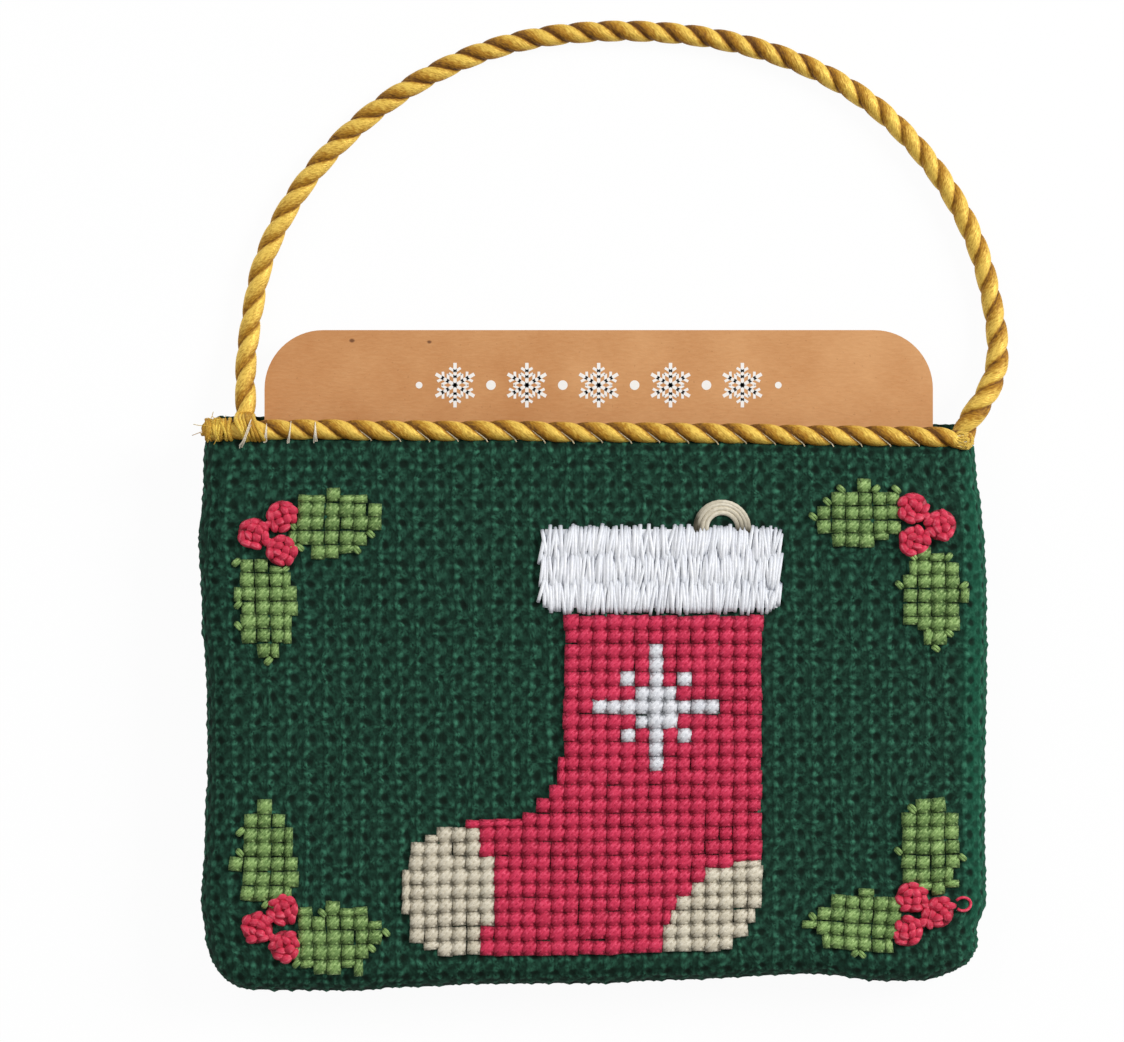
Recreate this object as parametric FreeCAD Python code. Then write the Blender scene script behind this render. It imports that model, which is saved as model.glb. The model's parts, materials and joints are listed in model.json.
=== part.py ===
import FreeCAD
import Part
import math
import os

# Gift card holder: a sewn cloth pouch with an embroidered front, a twisted cord along its mouth,
# a cord handle and a paper gift card in its pocket.
#
# Millimetres. The pouch lies on its back on a table: +X is to the right, +Y runs to the mouth and
# the handle, and +Z comes out of the embroidered front. The origin is the middle of the back cloth,
# on the face that rests on the table.

# Pouch cloth
back_height = 72.7
front_height = 69.5
corner_radius = 6.0
back_thickness = 1.9
front_thickness = 1.5
roll_radius = 2.6
back_edge_radius = 0.8
lining_thickness = 0.5
lining_clearance = 0.1
hem_depth = 5.4
pocket_room = 4.5

# Gift card
card_width = 85.6
card_height = 54.0
card_thickness = 0.6
card_top_corner_radius = 7.5
card_bottom_corner_radius = 3.0
card_reach = 10.9
card_clearance = 0.4

# Twisted cord of the trim and the handle
cord_diameter = 2.5
cord_table_gap = 0.02
cord_seat_gap = 0.05
trim_left_margin = 0.7
trim_right_margin = 1.7
trim_end_rounding = 0.6

# Handle: its ends are sewn inside the mouth, and the arch between them swings on the sewn ends.
# The ends and their stitches lie between the card and the front cloth's side walls.
handle_left_wall_gap = 2.5
handle_left_card_gap = 0.8
handle_right_wall_gap = 0.2
handle_right_card_gap = 1.5
handle_pivot_reach = 1.8
handle_end_depth = 9.0
handle_swing_gap = 0.15
# The arch's route as it lies on the table, from the left leg to the right leg (x, y)
handle_route = [
    (-44.1, 46.9),
    (-42.4, 56.9),
    (-36.8, 67.9),
    (-26.3, 77.6),
    (-12.0, 83.9),
    (3.5, 85.7),
    (19.5, 84.0),
    (33.4, 78.2),
    (43.0, 69.2),
    (49.1, 58.6),
    (51.3, 47.4),
]
# Share of a run that the bend at its end takes up
bend_run_share = 0.45

# Sewing thread
thread_diameter = 0.3
thread_clearance = 0.05
trim_stitch_pitch = 3.0
trim_stitch_start_angle = 138.0
trim_stitch_end_angle = -60.0
trim_wrap_count = 6
trim_wrap_pitch = 0.45
tack_count = 3
tack_pitch = 2.0
tack_margin = 2.0
tack_sweep_angle = 240.0
seam_thread_diameter = 0.4
seam_stitch_length = 1.8
seam_stitch_pitch = 3.0
seam_stitch_slant = 45.0

# Embroidery: pads of stitches that stand on the front cloth
stitch_height = 0.7
berry_diameter = 4.2
berry_height = 1.0
berry_rounding = 0.5
berry_gap = 0.1

# Holly sprigs: one in each corner, berries with a leaf along X and a leaf along Y.
# The embroidery lies a little askew, so the sprigs on the right sit higher.
sprig_left_margin = 8.8
sprig_right_margin = 7.7
sprig_mouth_margin = 11.9
sprig_bottom_margin = 7.8
sprig_right_rise = 1.1
sprig_leaf_gap = 0.2
sprig_leaf_offset = 0.4
flat_leaf_length = 11.4
flat_leaf_width = 9.2
upright_leaf_length = 12.8
upright_leaf_width = 8.6
# Half a leaf's edge from its stalk to its tip: along its length, then across its width
leaf_edge_shares = [(-0.5, 0.0), (-0.42, 0.3), (-0.12, 0.5), (0.24, 0.42), (0.5, 0.0)]
leaf_hollow_share = 0.13

# Stocking in the middle of the front
stocking_right = 21.5
stocking_bottom_margin = 3.6
leg_width = 25.5
leg_height = 44.0
foot_length = 46.0
foot_height = 17.0
heel_corner_radius = 8.0
instep_radius = 9.0
toe_patch_radius = 12.0
heel_patch_radius = 12.5
cuff_width = 31.0
cuff_height = 11.0
cuff_corner_radius = 3.0
loop_outer_radius = 3.6
loop_inner_radius = 1.8
loop_margin = 5.0
star_radius = 7.2
star_hollow_radius = 3.1
star_point_count = 8
star_drop = 12.5

# One overrun serves all cuts
cut_overrun = 1.0

# Worked out from the sizes above
cord_radius = cord_diameter / 2
thread_radius = thread_diameter / 2
hoop_radius = cord_radius + thread_clearance + thread_radius
hoop_reach = hoop_radius + thread_radius
left_room = front_thickness + handle_left_wall_gap + 2 * hoop_reach + handle_left_card_gap
right_room = front_thickness + handle_right_wall_gap + 2 * hoop_reach + handle_right_card_gap
pouch_width = left_room + card_width + right_room
half_width = pouch_width / 2
card_left = -half_width + left_room
card_right = half_width - right_room
bottom_y = -back_height / 2
back_top_y = back_height / 2
mouth_y = bottom_y + front_height
back_lining_top = back_thickness + lining_thickness
card_floor = back_lining_top + card_clearance
front_lining_floor = card_floor + card_thickness + pocket_room
front_floor = front_lining_floor + lining_thickness
front_top = front_floor + front_thickness
trim_y = mouth_y + cord_radius + cord_seat_gap
trim_z = front_floor + front_thickness / 2
pivot_y = back_top_y + handle_pivot_reach
pivot_z = back_lining_top + cord_radius + cord_seat_gap
handle_left_x = -half_width + front_thickness + handle_left_wall_gap + hoop_reach
handle_right_x = half_width - front_thickness - handle_right_wall_gap - hoop_reach
stocking_bottom = bottom_y + stocking_bottom_margin
stocking_left = stocking_right - foot_length
leg_left = stocking_right - leg_width
leg_top = stocking_bottom + leg_height
cuff_top = leg_top + cuff_height

ALONG_X = FreeCAD.Vector(1, 0, 0)
ALONG_Y = FreeCAD.Vector(0, 1, 0)
UP = FreeCAD.Vector(0, 0, 1)
# Share of a quarter arc's radius between its middle and the corner that it rounds
corner_bow_share = 1 - math.sqrt(0.5)


def point(place, z):
    return FreeCAD.Vector(place[0], place[1], z)


def path_edges(start, steps, z):
    """Flat path: a step is an end point for a straight side, or a (through, end) pair for an arc."""
    edges = []
    here = start
    for step in steps:
        if isinstance(step[0], tuple):
            through, end = step
            edges.append(Part.Arc(point(here, z), point(through, z), point(end, z)).toShape())
        else:
            end = step
            edges.append(Part.LineSegment(point(here, z), point(end, z)).toShape())
        here = end
    return edges


def slab(start, steps, z, thickness):
    """Flat piece of one thickness inside a closed path."""
    face = Part.Face(Part.Wire(path_edges(start, steps, z)))
    return face.extrude(UP * thickness)


def disc(place, radius, z, thickness):
    return Part.makeCylinder(radius, thickness, point(place, z), UP)


def pouch_path(inset, top_y):
    """Sides and bottom of the pouch from mouth to mouth, drawn in from its edge by an inset."""
    half = half_width - inset
    low = bottom_y + inset
    radius = corner_radius - inset
    bow = radius * corner_bow_share
    start = (-half, top_y)
    steps = [
        (-half, low + radius),
        ((-half + bow, low + bow), (-half + radius, low)),
        (half - radius, low),
        ((half - bow, low + bow), (half, low + radius)),
        (half, top_y),
    ]
    return start, steps


def pouch_slab(inset, top_y, z, thickness):
    """Flat piece in the pouch's outline, with a straight edge at the mouth."""
    start, steps = pouch_path(inset, top_y)
    return slab(start, steps + [start], z, thickness)


def edges_at_height(shape, z):
    return [edge for edge in shape.Edges if all(abs(v.Z - z) < cord_table_gap for v in edge.Vertexes)]


def rounded_rim(shape, z, radius, open_y=None):
    """Round the edges of a flat piece at one height, all but a straight edge at open_y."""
    rim = []
    for edge in edges_at_height(shape, z):
        at_mouth = open_y is not None and abs(edge.CenterOfMass.y - open_y) < cord_table_gap
        if not at_mouth:
            rim.append(edge)
    return shape.makeFillet(radius, rim)


def mouth_hem():
    """Edge of the front cloth turned in at the mouth, level with the lining below it."""
    inset = roll_radius + lining_clearance
    corner = FreeCAD.Vector(inset - half_width, mouth_y - hem_depth, front_lining_floor)
    return Part.makeBox(pouch_width - 2 * inset, hem_depth, lining_thickness, corner)


def front_panel():
    """Front cloth: a flat face whose sides and bottom roll down to the seam with the back cloth."""
    depth = front_top - back_thickness
    outer = pouch_slab(0, mouth_y, back_thickness, depth)
    outer = rounded_rim(outer, front_top, roll_radius, mouth_y)
    hollow_floor = back_thickness - cut_overrun
    hollow_end = mouth_y + cut_overrun
    hollow = pouch_slab(front_thickness, hollow_end, hollow_floor, front_floor - hollow_floor)
    hollow = rounded_rim(hollow, front_floor, roll_radius - front_thickness, hollow_end)
    return outer.cut(hollow).fuse(mouth_hem())


def back_panel():
    """Back cloth: flat, a little taller than the front, with soft edges on the table side."""
    panel = pouch_slab(0, back_top_y, 0, back_thickness)
    return rounded_rim(panel, 0, back_edge_radius)


def front_lining():
    """Lining under the front cloth, up to the hem at the mouth."""
    inset = roll_radius + lining_clearance
    top_y = mouth_y - hem_depth - lining_clearance
    return pouch_slab(inset, top_y, front_lining_floor, lining_thickness)


def back_lining():
    """Lining on the back cloth, between the rolled sides of the front."""
    inset = front_thickness + lining_clearance
    return pouch_slab(inset, back_top_y - lining_clearance, back_thickness, lining_thickness)


def gift_card():
    """Paper card with large round corners at its top edge and small ones at the bottom."""
    top = back_top_y + card_reach
    low = top - card_height
    big = card_top_corner_radius
    small = card_bottom_corner_radius
    big_bow = big * corner_bow_share
    small_bow = small * corner_bow_share
    start = (card_left, top - big)
    steps = [
        (card_left, low + small),
        ((card_left + small_bow, low + small_bow), (card_left + small, low)),
        (card_right - small, low),
        ((card_right - small_bow, low + small_bow), (card_right, low + small)),
        (card_right, top - big),
        ((card_right - big_bow, top - big_bow), (card_right - big, top)),
        (card_left + big, top),
        ((card_left + big_bow, top - big_bow), start),
    ]
    return slab(start, steps, card_floor, card_thickness)


def trim_cord():
    """Cord along the front cloth's edge at the mouth."""
    left = -half_width + trim_left_margin
    length = pouch_width - trim_left_margin - trim_right_margin
    cord = Part.makeCylinder(cord_radius, length, FreeCAD.Vector(left, trim_y, trim_z), ALONG_X)
    return cord.makeFillet(trim_end_rounding, [edge for edge in cord.Edges if edge.Closed])


def thread_hoop(centre, axis, spoke, sweep):
    """Part of a ring of thread: it starts at centre + spoke and turns about an axis by sweep degrees."""
    start = centre + spoke
    section = Part.Circle(start, axis.cross(spoke), thread_radius).toShape()
    return Part.Face(Part.Wire(section)).revolve(centre, axis, sweep)


def trim_hoop(x):
    """Stitch over the trim, from the front of the cloth round to its inside."""
    angle = math.radians(trim_stitch_start_angle)
    spoke = FreeCAD.Vector(0, math.cos(angle), math.sin(angle)) * hoop_radius
    sweep = trim_stitch_start_angle - trim_stitch_end_angle
    return thread_hoop(FreeCAD.Vector(x, trim_y, trim_z), -ALONG_X, spoke, sweep)


def trim_stitches():
    """Overcast stitches that hold the trim, from past the wrapped end to the right end."""
    first = -half_width + trim_left_margin + trim_end_rounding + trim_wrap_count * trim_wrap_pitch
    first += trim_stitch_pitch / 2
    last = half_width - trim_right_margin - trim_end_rounding
    count = int((last - first) / trim_stitch_pitch) + 1
    return Part.makeCompound([trim_hoop(first + i * trim_stitch_pitch) for i in range(count)])


def trim_end_wrap():
    """Close turns of thread round the trim's left end."""
    first = -half_width + trim_left_margin + trim_end_rounding + thread_radius
    return Part.makeCompound([trim_hoop(first + i * trim_wrap_pitch) for i in range(trim_wrap_count)])


def handle_end(x):
    """Sewn end of the handle cord, straight down inside the mouth on the back lining."""
    top = pivot_y - cord_radius - handle_swing_gap
    length = top - (mouth_y - handle_end_depth)
    return Part.makeCylinder(cord_radius, length, FreeCAD.Vector(x, top, pivot_z), -ALONG_Y)


def handle_tack(x):
    """Stitches over a sewn end, into the back lining on both sides of it."""
    angle = math.radians((180 - tack_sweep_angle) / 2)
    spoke = FreeCAD.Vector(math.cos(angle), 0, math.sin(angle)) * hoop_radius
    low = mouth_y - handle_end_depth + tack_margin
    hoops = []
    for i in range(tack_count):
        centre = FreeCAD.Vector(x, low + i * tack_pitch, pivot_z)
        hoops.append(thread_hoop(centre, -ALONG_Y, spoke, tack_sweep_angle))
    return Part.makeCompound(hoops)


def handle_points():
    """The arch's route: down from the left sewn end to the table, round, and up to the right one."""
    lying = cord_radius + cord_table_gap
    points = [FreeCAD.Vector(handle_left_x, pivot_y, pivot_z)]
    points += [point(place, lying) for place in handle_route]
    points.append(FreeCAD.Vector(handle_right_x, pivot_y, pivot_z))
    return points


def bent_path(points):
    """Straight runs joined by tangent arcs, each as large as its two runs allow."""
    edges = []
    here = points[0]
    for before, corner, after in zip(points, points[1:], points[2:]):
        back = (before - corner).normalize()
        ahead = (after - corner).normalize()
        reach = bend_run_share * min(before.distanceToPoint(corner), after.distanceToPoint(corner))
        half_turn = (math.pi - back.getAngle(ahead)) / 2
        radius = reach / math.tan(half_turn)
        inward = (back + ahead).normalize()
        depth = radius / math.cos(half_turn) - radius
        start = corner + back * reach
        end = corner + ahead * reach
        edges.append(Part.LineSegment(here, start).toShape())
        edges.append(Part.Arc(start, corner + inward * depth, end).toShape())
        here = end
        print("handle bend radius", round(radius, 1))
    edges.append(Part.LineSegment(here, points[-1]).toShape())
    return Part.Wire(edges)


def round_end(place, outward):
    """Half ball that closes an end of the cord."""
    return Part.makeSphere(cord_radius, place, outward, 0, 90, 360)


def handle_cord():
    """The arch between the sewn ends, with round ends on the line that it swings about."""
    points = handle_points()
    path = bent_path(points)
    run = points[1] - points[0]
    section = Part.Wire(Part.Circle(points[0], run, cord_radius).toShape())
    tube = path.makePipeShell([section], True, False)
    wanted = math.pi * cord_radius ** 2 * path.Length
    print("handle length", round(path.Length, 1), "volume share", round(tube.Volume / wanted, 4))
    ends = [round_end(points[0], points[0] - points[1]), round_end(points[-1], points[-1] - points[-2])]
    return tube.fuse(ends)


def seam_stitches():
    """Slanted stitches along the sides and the bottom, over the seam of front and back cloth."""
    start, steps = pouch_path(0, mouth_y)
    path = Part.Wire(path_edges(start, steps, back_thickness))
    count = int(path.Length / seam_stitch_pitch)
    places = path.discretize(Number=count)
    slant = math.radians(seam_stitch_slant)
    radius = seam_thread_diameter / 2
    stitches = []
    for before, place, after in zip(places, places[1:], places[2:]):
        along = (after - before).normalize()
        outward = along.cross(UP)
        lean = along * math.cos(slant) + UP * math.sin(slant)
        centre = place + outward * (radius + thread_clearance)
        low = centre - lean * (seam_stitch_length / 2)
        stitches.append(Part.makeCylinder(radius, seam_stitch_length, low, lean))
    return Part.makeCompound(stitches)


def bowed(start, end, bow_share):
    """Point beside the middle of a chord, to its left by a share of the chord's length."""
    across = (start[1] - end[1], end[0] - start[0])
    middle = ((start[0] + end[0]) / 2, (start[1] + end[1]) / 2)
    return (middle[0] + across[0] * bow_share, middle[1] + across[1] * bow_share)


def holly_leaf(centre, length, width, tip):
    """Leaf pad with hollow edges between its points; tip is the way its tip points, such as (1, 0)."""
    upper = [(along * length, across * width) for along, across in leaf_edge_shares]
    lower = [(along, -across) for along, across in reversed(upper[1:-1])]
    corners = []
    for along, across in upper + lower:
        x = centre[0] + along * tip[0] - across * tip[1]
        y = centre[1] + along * tip[1] + across * tip[0]
        corners.append((x, y))
    steps = []
    for here, end in zip(corners, corners[1:] + corners[:1]):
        steps.append((bowed(here, end, -leaf_hollow_share), end))
    return slab(corners[0], steps, front_top, stitch_height)


def sprig_centre(x_side, y_side):
    """Middle of a corner's berries; a side is -1 or 1."""
    y = mouth_y - sprig_mouth_margin if y_side > 0 else bottom_y + sprig_bottom_margin
    if x_side > 0:
        return (half_width - sprig_right_margin, y + sprig_right_rise)
    return (sprig_left_margin - half_width, y)


def holly_leaves(x_side, y_side):
    """The two leaves of a corner's sprig, pointing away from its berries."""
    x, y = sprig_centre(x_side, y_side)
    reach = berry_diameter + berry_gap + sprig_leaf_gap
    flat = (x - x_side * (reach + flat_leaf_length / 2), y + y_side * sprig_leaf_offset)
    upright = (x + x_side * sprig_leaf_offset, y - y_side * (reach + upright_leaf_length / 2))
    leaves = [
        holly_leaf(flat, flat_leaf_length, flat_leaf_width, (-x_side, 0)),
        holly_leaf(upright, upright_leaf_length, upright_leaf_width, (0, -y_side)),
    ]
    return Part.makeCompound(leaves)


def berry(place):
    """Round knot of stitches with a soft top edge."""
    knot = disc(place, berry_diameter / 2, front_top, berry_height)
    return knot.makeFillet(berry_rounding, edges_at_height(knot, front_top + berry_height))


def holly_berries(x_side, y_side):
    """Three berries in a triangle: two beside the leaves and one towards the side of the pouch."""
    x, y = sprig_centre(x_side, y_side)
    spread = (berry_diameter + berry_gap) / 2
    rise = spread * math.sqrt(3) / 2
    places = [(x - x_side * rise, y + spread * y_side), (x - x_side * rise, y - spread * y_side)]
    places.append((x + x_side * rise, y))
    return Part.makeCompound([berry(place) for place in places])


def stocking_shape():
    """Leg and foot of the stocking, with its toe to the left."""
    right = stocking_right
    low = stocking_bottom
    heel = heel_corner_radius
    heel_bow = heel * corner_bow_share
    toe = foot_height / 2
    instep = instep_radius
    instep_bow = instep * corner_bow_share
    foot_top = low + foot_height
    start = (right, leg_top)
    steps = [
        (right, low + heel),
        ((right - heel_bow, low + heel_bow), (right - heel, low)),
        (stocking_left + toe, low),
        ((stocking_left, low + toe), (stocking_left + toe, foot_top)),
        (leg_left - instep, foot_top),
        ((leg_left - instep_bow, foot_top + instep_bow), (leg_left, foot_top + instep)),
        (leg_left, leg_top),
        start,
    ]
    return slab(start, steps, front_top, stitch_height)


def toe_disc():
    return disc((stocking_left, stocking_bottom + foot_height / 2), toe_patch_radius, front_top, stitch_height)


def heel_disc():
    return disc((stocking_right, stocking_bottom), heel_patch_radius, front_top, stitch_height)


def stocking_star():
    """Eight-pointed star in the middle of the leg."""
    centre = (stocking_right - leg_width / 2, leg_top - star_drop)
    corners = []
    for i in range(2 * star_point_count):
        radius = star_hollow_radius if i % 2 else star_radius
        angle = math.pi * i / star_point_count
        corners.append((centre[0] + radius * math.cos(angle), centre[1] + radius * math.sin(angle)))
    return slab(corners[0], corners[1:] + corners[:1], front_top, stitch_height)


def stocking_cuff():
    """Wide band across the top of the leg, round at its corners."""
    middle = stocking_right - leg_width / 2
    left = middle - cuff_width / 2
    right = middle + cuff_width / 2
    radius = cuff_corner_radius
    bow = radius * corner_bow_share
    start = (left, leg_top + radius)
    steps = [
        ((left + bow, leg_top + bow), (left + radius, leg_top)),
        (right - radius, leg_top),
        ((right - bow, leg_top + bow), (right, leg_top + radius)),
        (right, cuff_top - radius),
        ((right - bow, cuff_top - bow), (right - radius, cuff_top)),
        (left + radius, cuff_top),
        ((left + bow, cuff_top - bow), (left, cuff_top - radius)),
        start,
    ]
    return slab(start, steps, front_top, stitch_height)


def stocking_loop():
    """Half ring that stands on the cuff, to hang the stocking by."""
    middle = stocking_right - loop_margin
    outer = loop_outer_radius
    inner = loop_inner_radius
    start = (middle - outer, cuff_top)
    steps = [
        (middle - inner, cuff_top),
        ((middle, cuff_top + inner), (middle + inner, cuff_top)),
        (middle + outer, cuff_top),
        ((middle, cuff_top + outer), start),
    ]
    return slab(start, steps, front_top, stitch_height)


def build_nodes():
    stocking = stocking_shape()
    star = stocking_star()
    nodes = {
        "front_panel": front_panel(),
        "back_panel": back_panel(),
        "front_lining": front_lining(),
        "back_lining": back_lining(),
        "seam_stitches": seam_stitches(),
        "trim_cord": trim_cord(),
        "trim_stitches": trim_stitches(),
        "trim_end_wrap": trim_end_wrap(),
        "handle_cord": handle_cord(),
        "handle_end_left": handle_end(handle_left_x),
        "handle_end_right": handle_end(handle_right_x),
        "handle_tack_left": handle_tack(handle_left_x),
        "handle_tack_right": handle_tack(handle_right_x),
        "stocking_leg": stocking.cut([toe_disc(), heel_disc(), star]),
        "stocking_toe": stocking.common(toe_disc()),
        "stocking_heel": stocking.common(heel_disc()),
        "stocking_star": star,
        "stocking_cuff": stocking_cuff(),
        "stocking_loop": stocking_loop(),
        "gift_card": gift_card(),
    }
    for y_word, y_side in (("top", 1), ("bottom", -1)):
        for x_word, x_side in (("left", -1), ("right", 1)):
            corner = y_word + "_" + x_word
            nodes["holly_leaves_" + corner] = holly_leaves(x_side, y_side)
            nodes["holly_berries_" + corner] = holly_berries(x_side, y_side)
    return nodes


os.makedirs("parts", exist_ok=True)
for name, shape in build_nodes().items():
    shape.exportStep(os.path.join("parts", name + ".step"))
    print(name, len(shape.Solids), round(shape.Volume, 2), shape.isValid())
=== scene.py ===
"""Gift card holder: a small embroidered cloth pouch with a gold cord handle, lying on its back."""

import json
import math
import random

import bpy
import numpy as np
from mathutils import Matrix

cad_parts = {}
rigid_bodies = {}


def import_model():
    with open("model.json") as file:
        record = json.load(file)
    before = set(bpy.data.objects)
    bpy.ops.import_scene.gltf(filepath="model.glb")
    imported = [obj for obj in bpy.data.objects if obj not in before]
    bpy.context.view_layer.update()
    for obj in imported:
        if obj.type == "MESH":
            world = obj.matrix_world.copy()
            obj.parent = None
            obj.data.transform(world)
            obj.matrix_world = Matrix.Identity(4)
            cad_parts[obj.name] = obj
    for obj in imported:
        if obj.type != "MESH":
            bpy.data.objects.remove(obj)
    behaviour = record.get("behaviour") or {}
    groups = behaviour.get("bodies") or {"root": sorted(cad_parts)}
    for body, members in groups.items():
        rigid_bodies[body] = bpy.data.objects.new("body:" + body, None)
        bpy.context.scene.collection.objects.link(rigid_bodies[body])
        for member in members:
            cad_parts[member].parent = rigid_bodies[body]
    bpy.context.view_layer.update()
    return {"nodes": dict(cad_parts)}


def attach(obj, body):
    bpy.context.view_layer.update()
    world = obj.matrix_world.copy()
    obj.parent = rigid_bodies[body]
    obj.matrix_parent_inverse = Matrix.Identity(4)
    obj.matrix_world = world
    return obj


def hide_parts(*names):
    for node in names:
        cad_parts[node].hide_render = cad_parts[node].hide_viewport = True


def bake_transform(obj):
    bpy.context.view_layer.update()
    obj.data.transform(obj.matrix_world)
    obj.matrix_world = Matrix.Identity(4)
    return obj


for left_over in list(bpy.data.objects):
    bpy.data.objects.remove(left_over)
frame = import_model()

# Lengths are in millimetres, in the frame of the solids, where nothing says that they are in metres
MM = 0.001
HALF_WIDTH = 50.0
BOTTOM = -36.35
MOUTH = 33.15
BACK_TOP = 36.35
CORNER = 6.0
SEAM_HEIGHT = 1.9
SEAM_INSET = 0.9
TRIM_Y = 34.45
CORD_WIDTH = 2.5
CORD_LAY = 7.35
CORD_SIDES = 28
HANDLE_LEFT = -44.4
HANDLE_RIGHT = 46.75
HANDLE_HEIGHT = 3.7
WEAVE_X = 2.4
WEAVE_Y = 2.5
STITCH_X = 1.79
STITCH_Y = 1.8

# Photograph's frame, laid on the front of the pouch
FRAME_WIDTH = 143.2
FRAME_X = -3.9
FRAME_Y = 22.8
FRAME_HEIGHT = 9.6
LENS = 300.0
SENSOR = 36.0

# In metres: the table, how far it is under the pouch, and what the lamps are turned to
TABLE_SIZE = 3.0
TABLE_GAP = 0.00005
LAMP_AIM_Y = 0.02
LAMP_AIM_Z = 0.005


# Camera, light and floor


def camera():
    """Long lens straight above the pouch, with the mouth to the top of the picture."""
    bpy.ops.object.select_all(action="DESELECT")
    away = FRAME_WIDTH * LENS / SENSOR + FRAME_HEIGHT
    bpy.ops.object.camera_add(location=(FRAME_X * MM, FRAME_Y * MM, away * MM))
    made = bpy.context.object
    made.data.lens = LENS
    made.data.sensor_width = SENSOR
    made.data.clip_start = 0.01
    made.data.clip_end = 20
    bpy.context.scene.camera = made


def lamp(name, place, size, power):
    """Square soft box at a place in metres, turned to the middle of the pouch."""
    bpy.ops.object.select_all(action="DESELECT")
    bpy.ops.object.light_add(type="AREA", location=place)
    made = bpy.context.object
    made.name = name
    made.data.size = size
    made.data.energy = power
    aim = made.location.copy()
    aim.z -= LAMP_AIM_Z
    aim.y -= LAMP_AIM_Y
    made.rotation_euler = aim.to_track_quat("Z", "Y").to_euler()


def studio():
    """Key light from the upper right, a weaker one from the upper left and an even white room."""
    lamp("key_light", (0.95, 0.42, 0.68), 0.5, 13.0)
    lamp("fill_light", (-0.55, 0.5, 0.75), 0.8, 3.8)
    world = bpy.data.worlds.new("white_room")
    world.use_nodes = True
    world.node_tree.nodes["Background"].inputs["Color"].default_value = (1, 1, 1, 1)
    world.node_tree.nodes["Background"].inputs["Strength"].default_value = 0.33
    bpy.context.scene.world = world
    bpy.context.scene.view_settings.view_transform = "Standard"


# Shader maths


class Value:
    """A socket of a material, so that shader maths reads as plain sums."""

    def __init__(self, finish, socket):
        self.finish = finish
        self.socket = socket

    def math(self, operation, *numbers):
        return self.finish.node("Math", {"operation": operation}, dict(enumerate(numbers)))

    def __add__(self, other):
        return self.math("ADD", self, other)

    def __radd__(self, other):
        return self.math("ADD", other, self)

    def __sub__(self, other):
        return self.math("SUBTRACT", self, other)

    def __rsub__(self, other):
        return self.math("SUBTRACT", other, self)

    def __mul__(self, other):
        return self.math("MULTIPLY", self, other)

    def __rmul__(self, other):
        return self.math("MULTIPLY", other, self)

    def __truediv__(self, other):
        return self.math("DIVIDE", self, other)

    def __pow__(self, other):
        return self.math("POWER", self, other)

    def __abs__(self):
        return self.math("ABSOLUTE", self)

    def sin(self):
        return self.math("SINE", self)

    def fract(self):
        return self.math("FRACT", self)

    def most(self, other):
        return self.math("MAXIMUM", self, other)

    def least(self, other):
        return self.math("MINIMUM", self, other)


class Finish:
    """One material: constant numbers go straight to its shader, and node adds any other node."""

    def __init__(self, name, **constants):
        self.material = bpy.data.materials.new(name)
        self.material.use_nodes = True
        self.tree = self.material.node_tree
        self.shader = self.tree.nodes["Principled BSDF"]
        for socket, number in constants.items():
            self.shader.inputs[socket.replace("_", " ")].default_value = number

    def feed(self, socket, value):
        if isinstance(value, Value):
            self.tree.links.new(value.socket, socket)
        else:
            socket.default_value = value

    def node(self, kind, settings, sockets, out=0):
        made = self.tree.nodes.new("ShaderNode" + kind)
        for name, value in settings.items():
            setattr(made, name, value)
        for key, value in sockets.items():
            self.feed(made.inputs[key], value)
        return Value(self, made.outputs[out])

    def give(self, socket, value):
        self.feed(self.shader.inputs[socket], value)

    def blend(self, share, first, second):
        """Colour between two colours."""
        return self.node("Mix", {"data_type": "RGBA"}, {0: share, 6: first, 7: second}, 2)

    def parts(self, vector):
        """The three numbers of a vector."""
        return [self.node("SeparateXYZ", {}, {0: vector}, out) for out in range(3)]

    def place(self):
        """Place on the object, in millimetres."""
        spot = self.node("TexCoord", {}, {}, 3)
        return self.node("VectorMath", {"operation": "SCALE"}, {0: spot, "Scale": 1 / MM})

    def sewn(self):
        """Place on the cloth or along the thread, from the piece's own map."""
        return self.node("UVMap", {"uv_map": "sewn"}, {})

    def tone(self):
        """Tone of one stitch, strand or thread among its neighbours; on the cords it carries painted shade
        from ridge to groove.
        """
        return self.node("Attribute", {"attribute_name": "tone"}, {}, 2)

    def noise(self, spot, scale, detail=2.0, rough=0.5):
        sockets = {"Vector": spot, "Scale": scale, "Detail": detail, "Roughness": rough}
        return self.node("TexNoise", {}, sockets)

    def stretch(self, spot, x, y, z=1.0):
        return self.node("VectorMath", {"operation": "MULTIPLY"}, {0: spot, 1: (x, y, z)})

    def step(self, value, low, high):
        """0 below low, 1 above high and a soft rise between."""
        settings = {"interpolation_type": "SMOOTHSTEP"}
        return self.node("MapRange", settings, {0: value, 1: low, 2: high})

    def spot_at(self, across, up, column, row, size):
        """Soft round spot, once in each square, at a column and row of the square."""
        off_x = (across + (0.5 - column)).fract() - 0.5
        off_y = (up + (0.5 - row)).fract() - 0.5
        return 1 - self.step((off_x * off_x + off_y * off_y) / size**2, 0.05, 1.2)

    def bump(self, height, distance, strength=1.0):
        sockets = {"Height": height, "Distance": distance * MM, "Strength": strength}
        self.give("Normal", self.node("Bump", {}, sockets))


def tint(red, green, blue):
    """A colour as it is seen on a screen, from 0 to 255, for a shader."""
    shares = [c / 255 for c in (red, green, blue)]
    linear = [s / 12.92 if s <= 0.04045 else ((s + 0.055) / 1.055) ** 2.4 for s in shares]
    return (*linear, 1.0)


# Finishes


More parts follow.
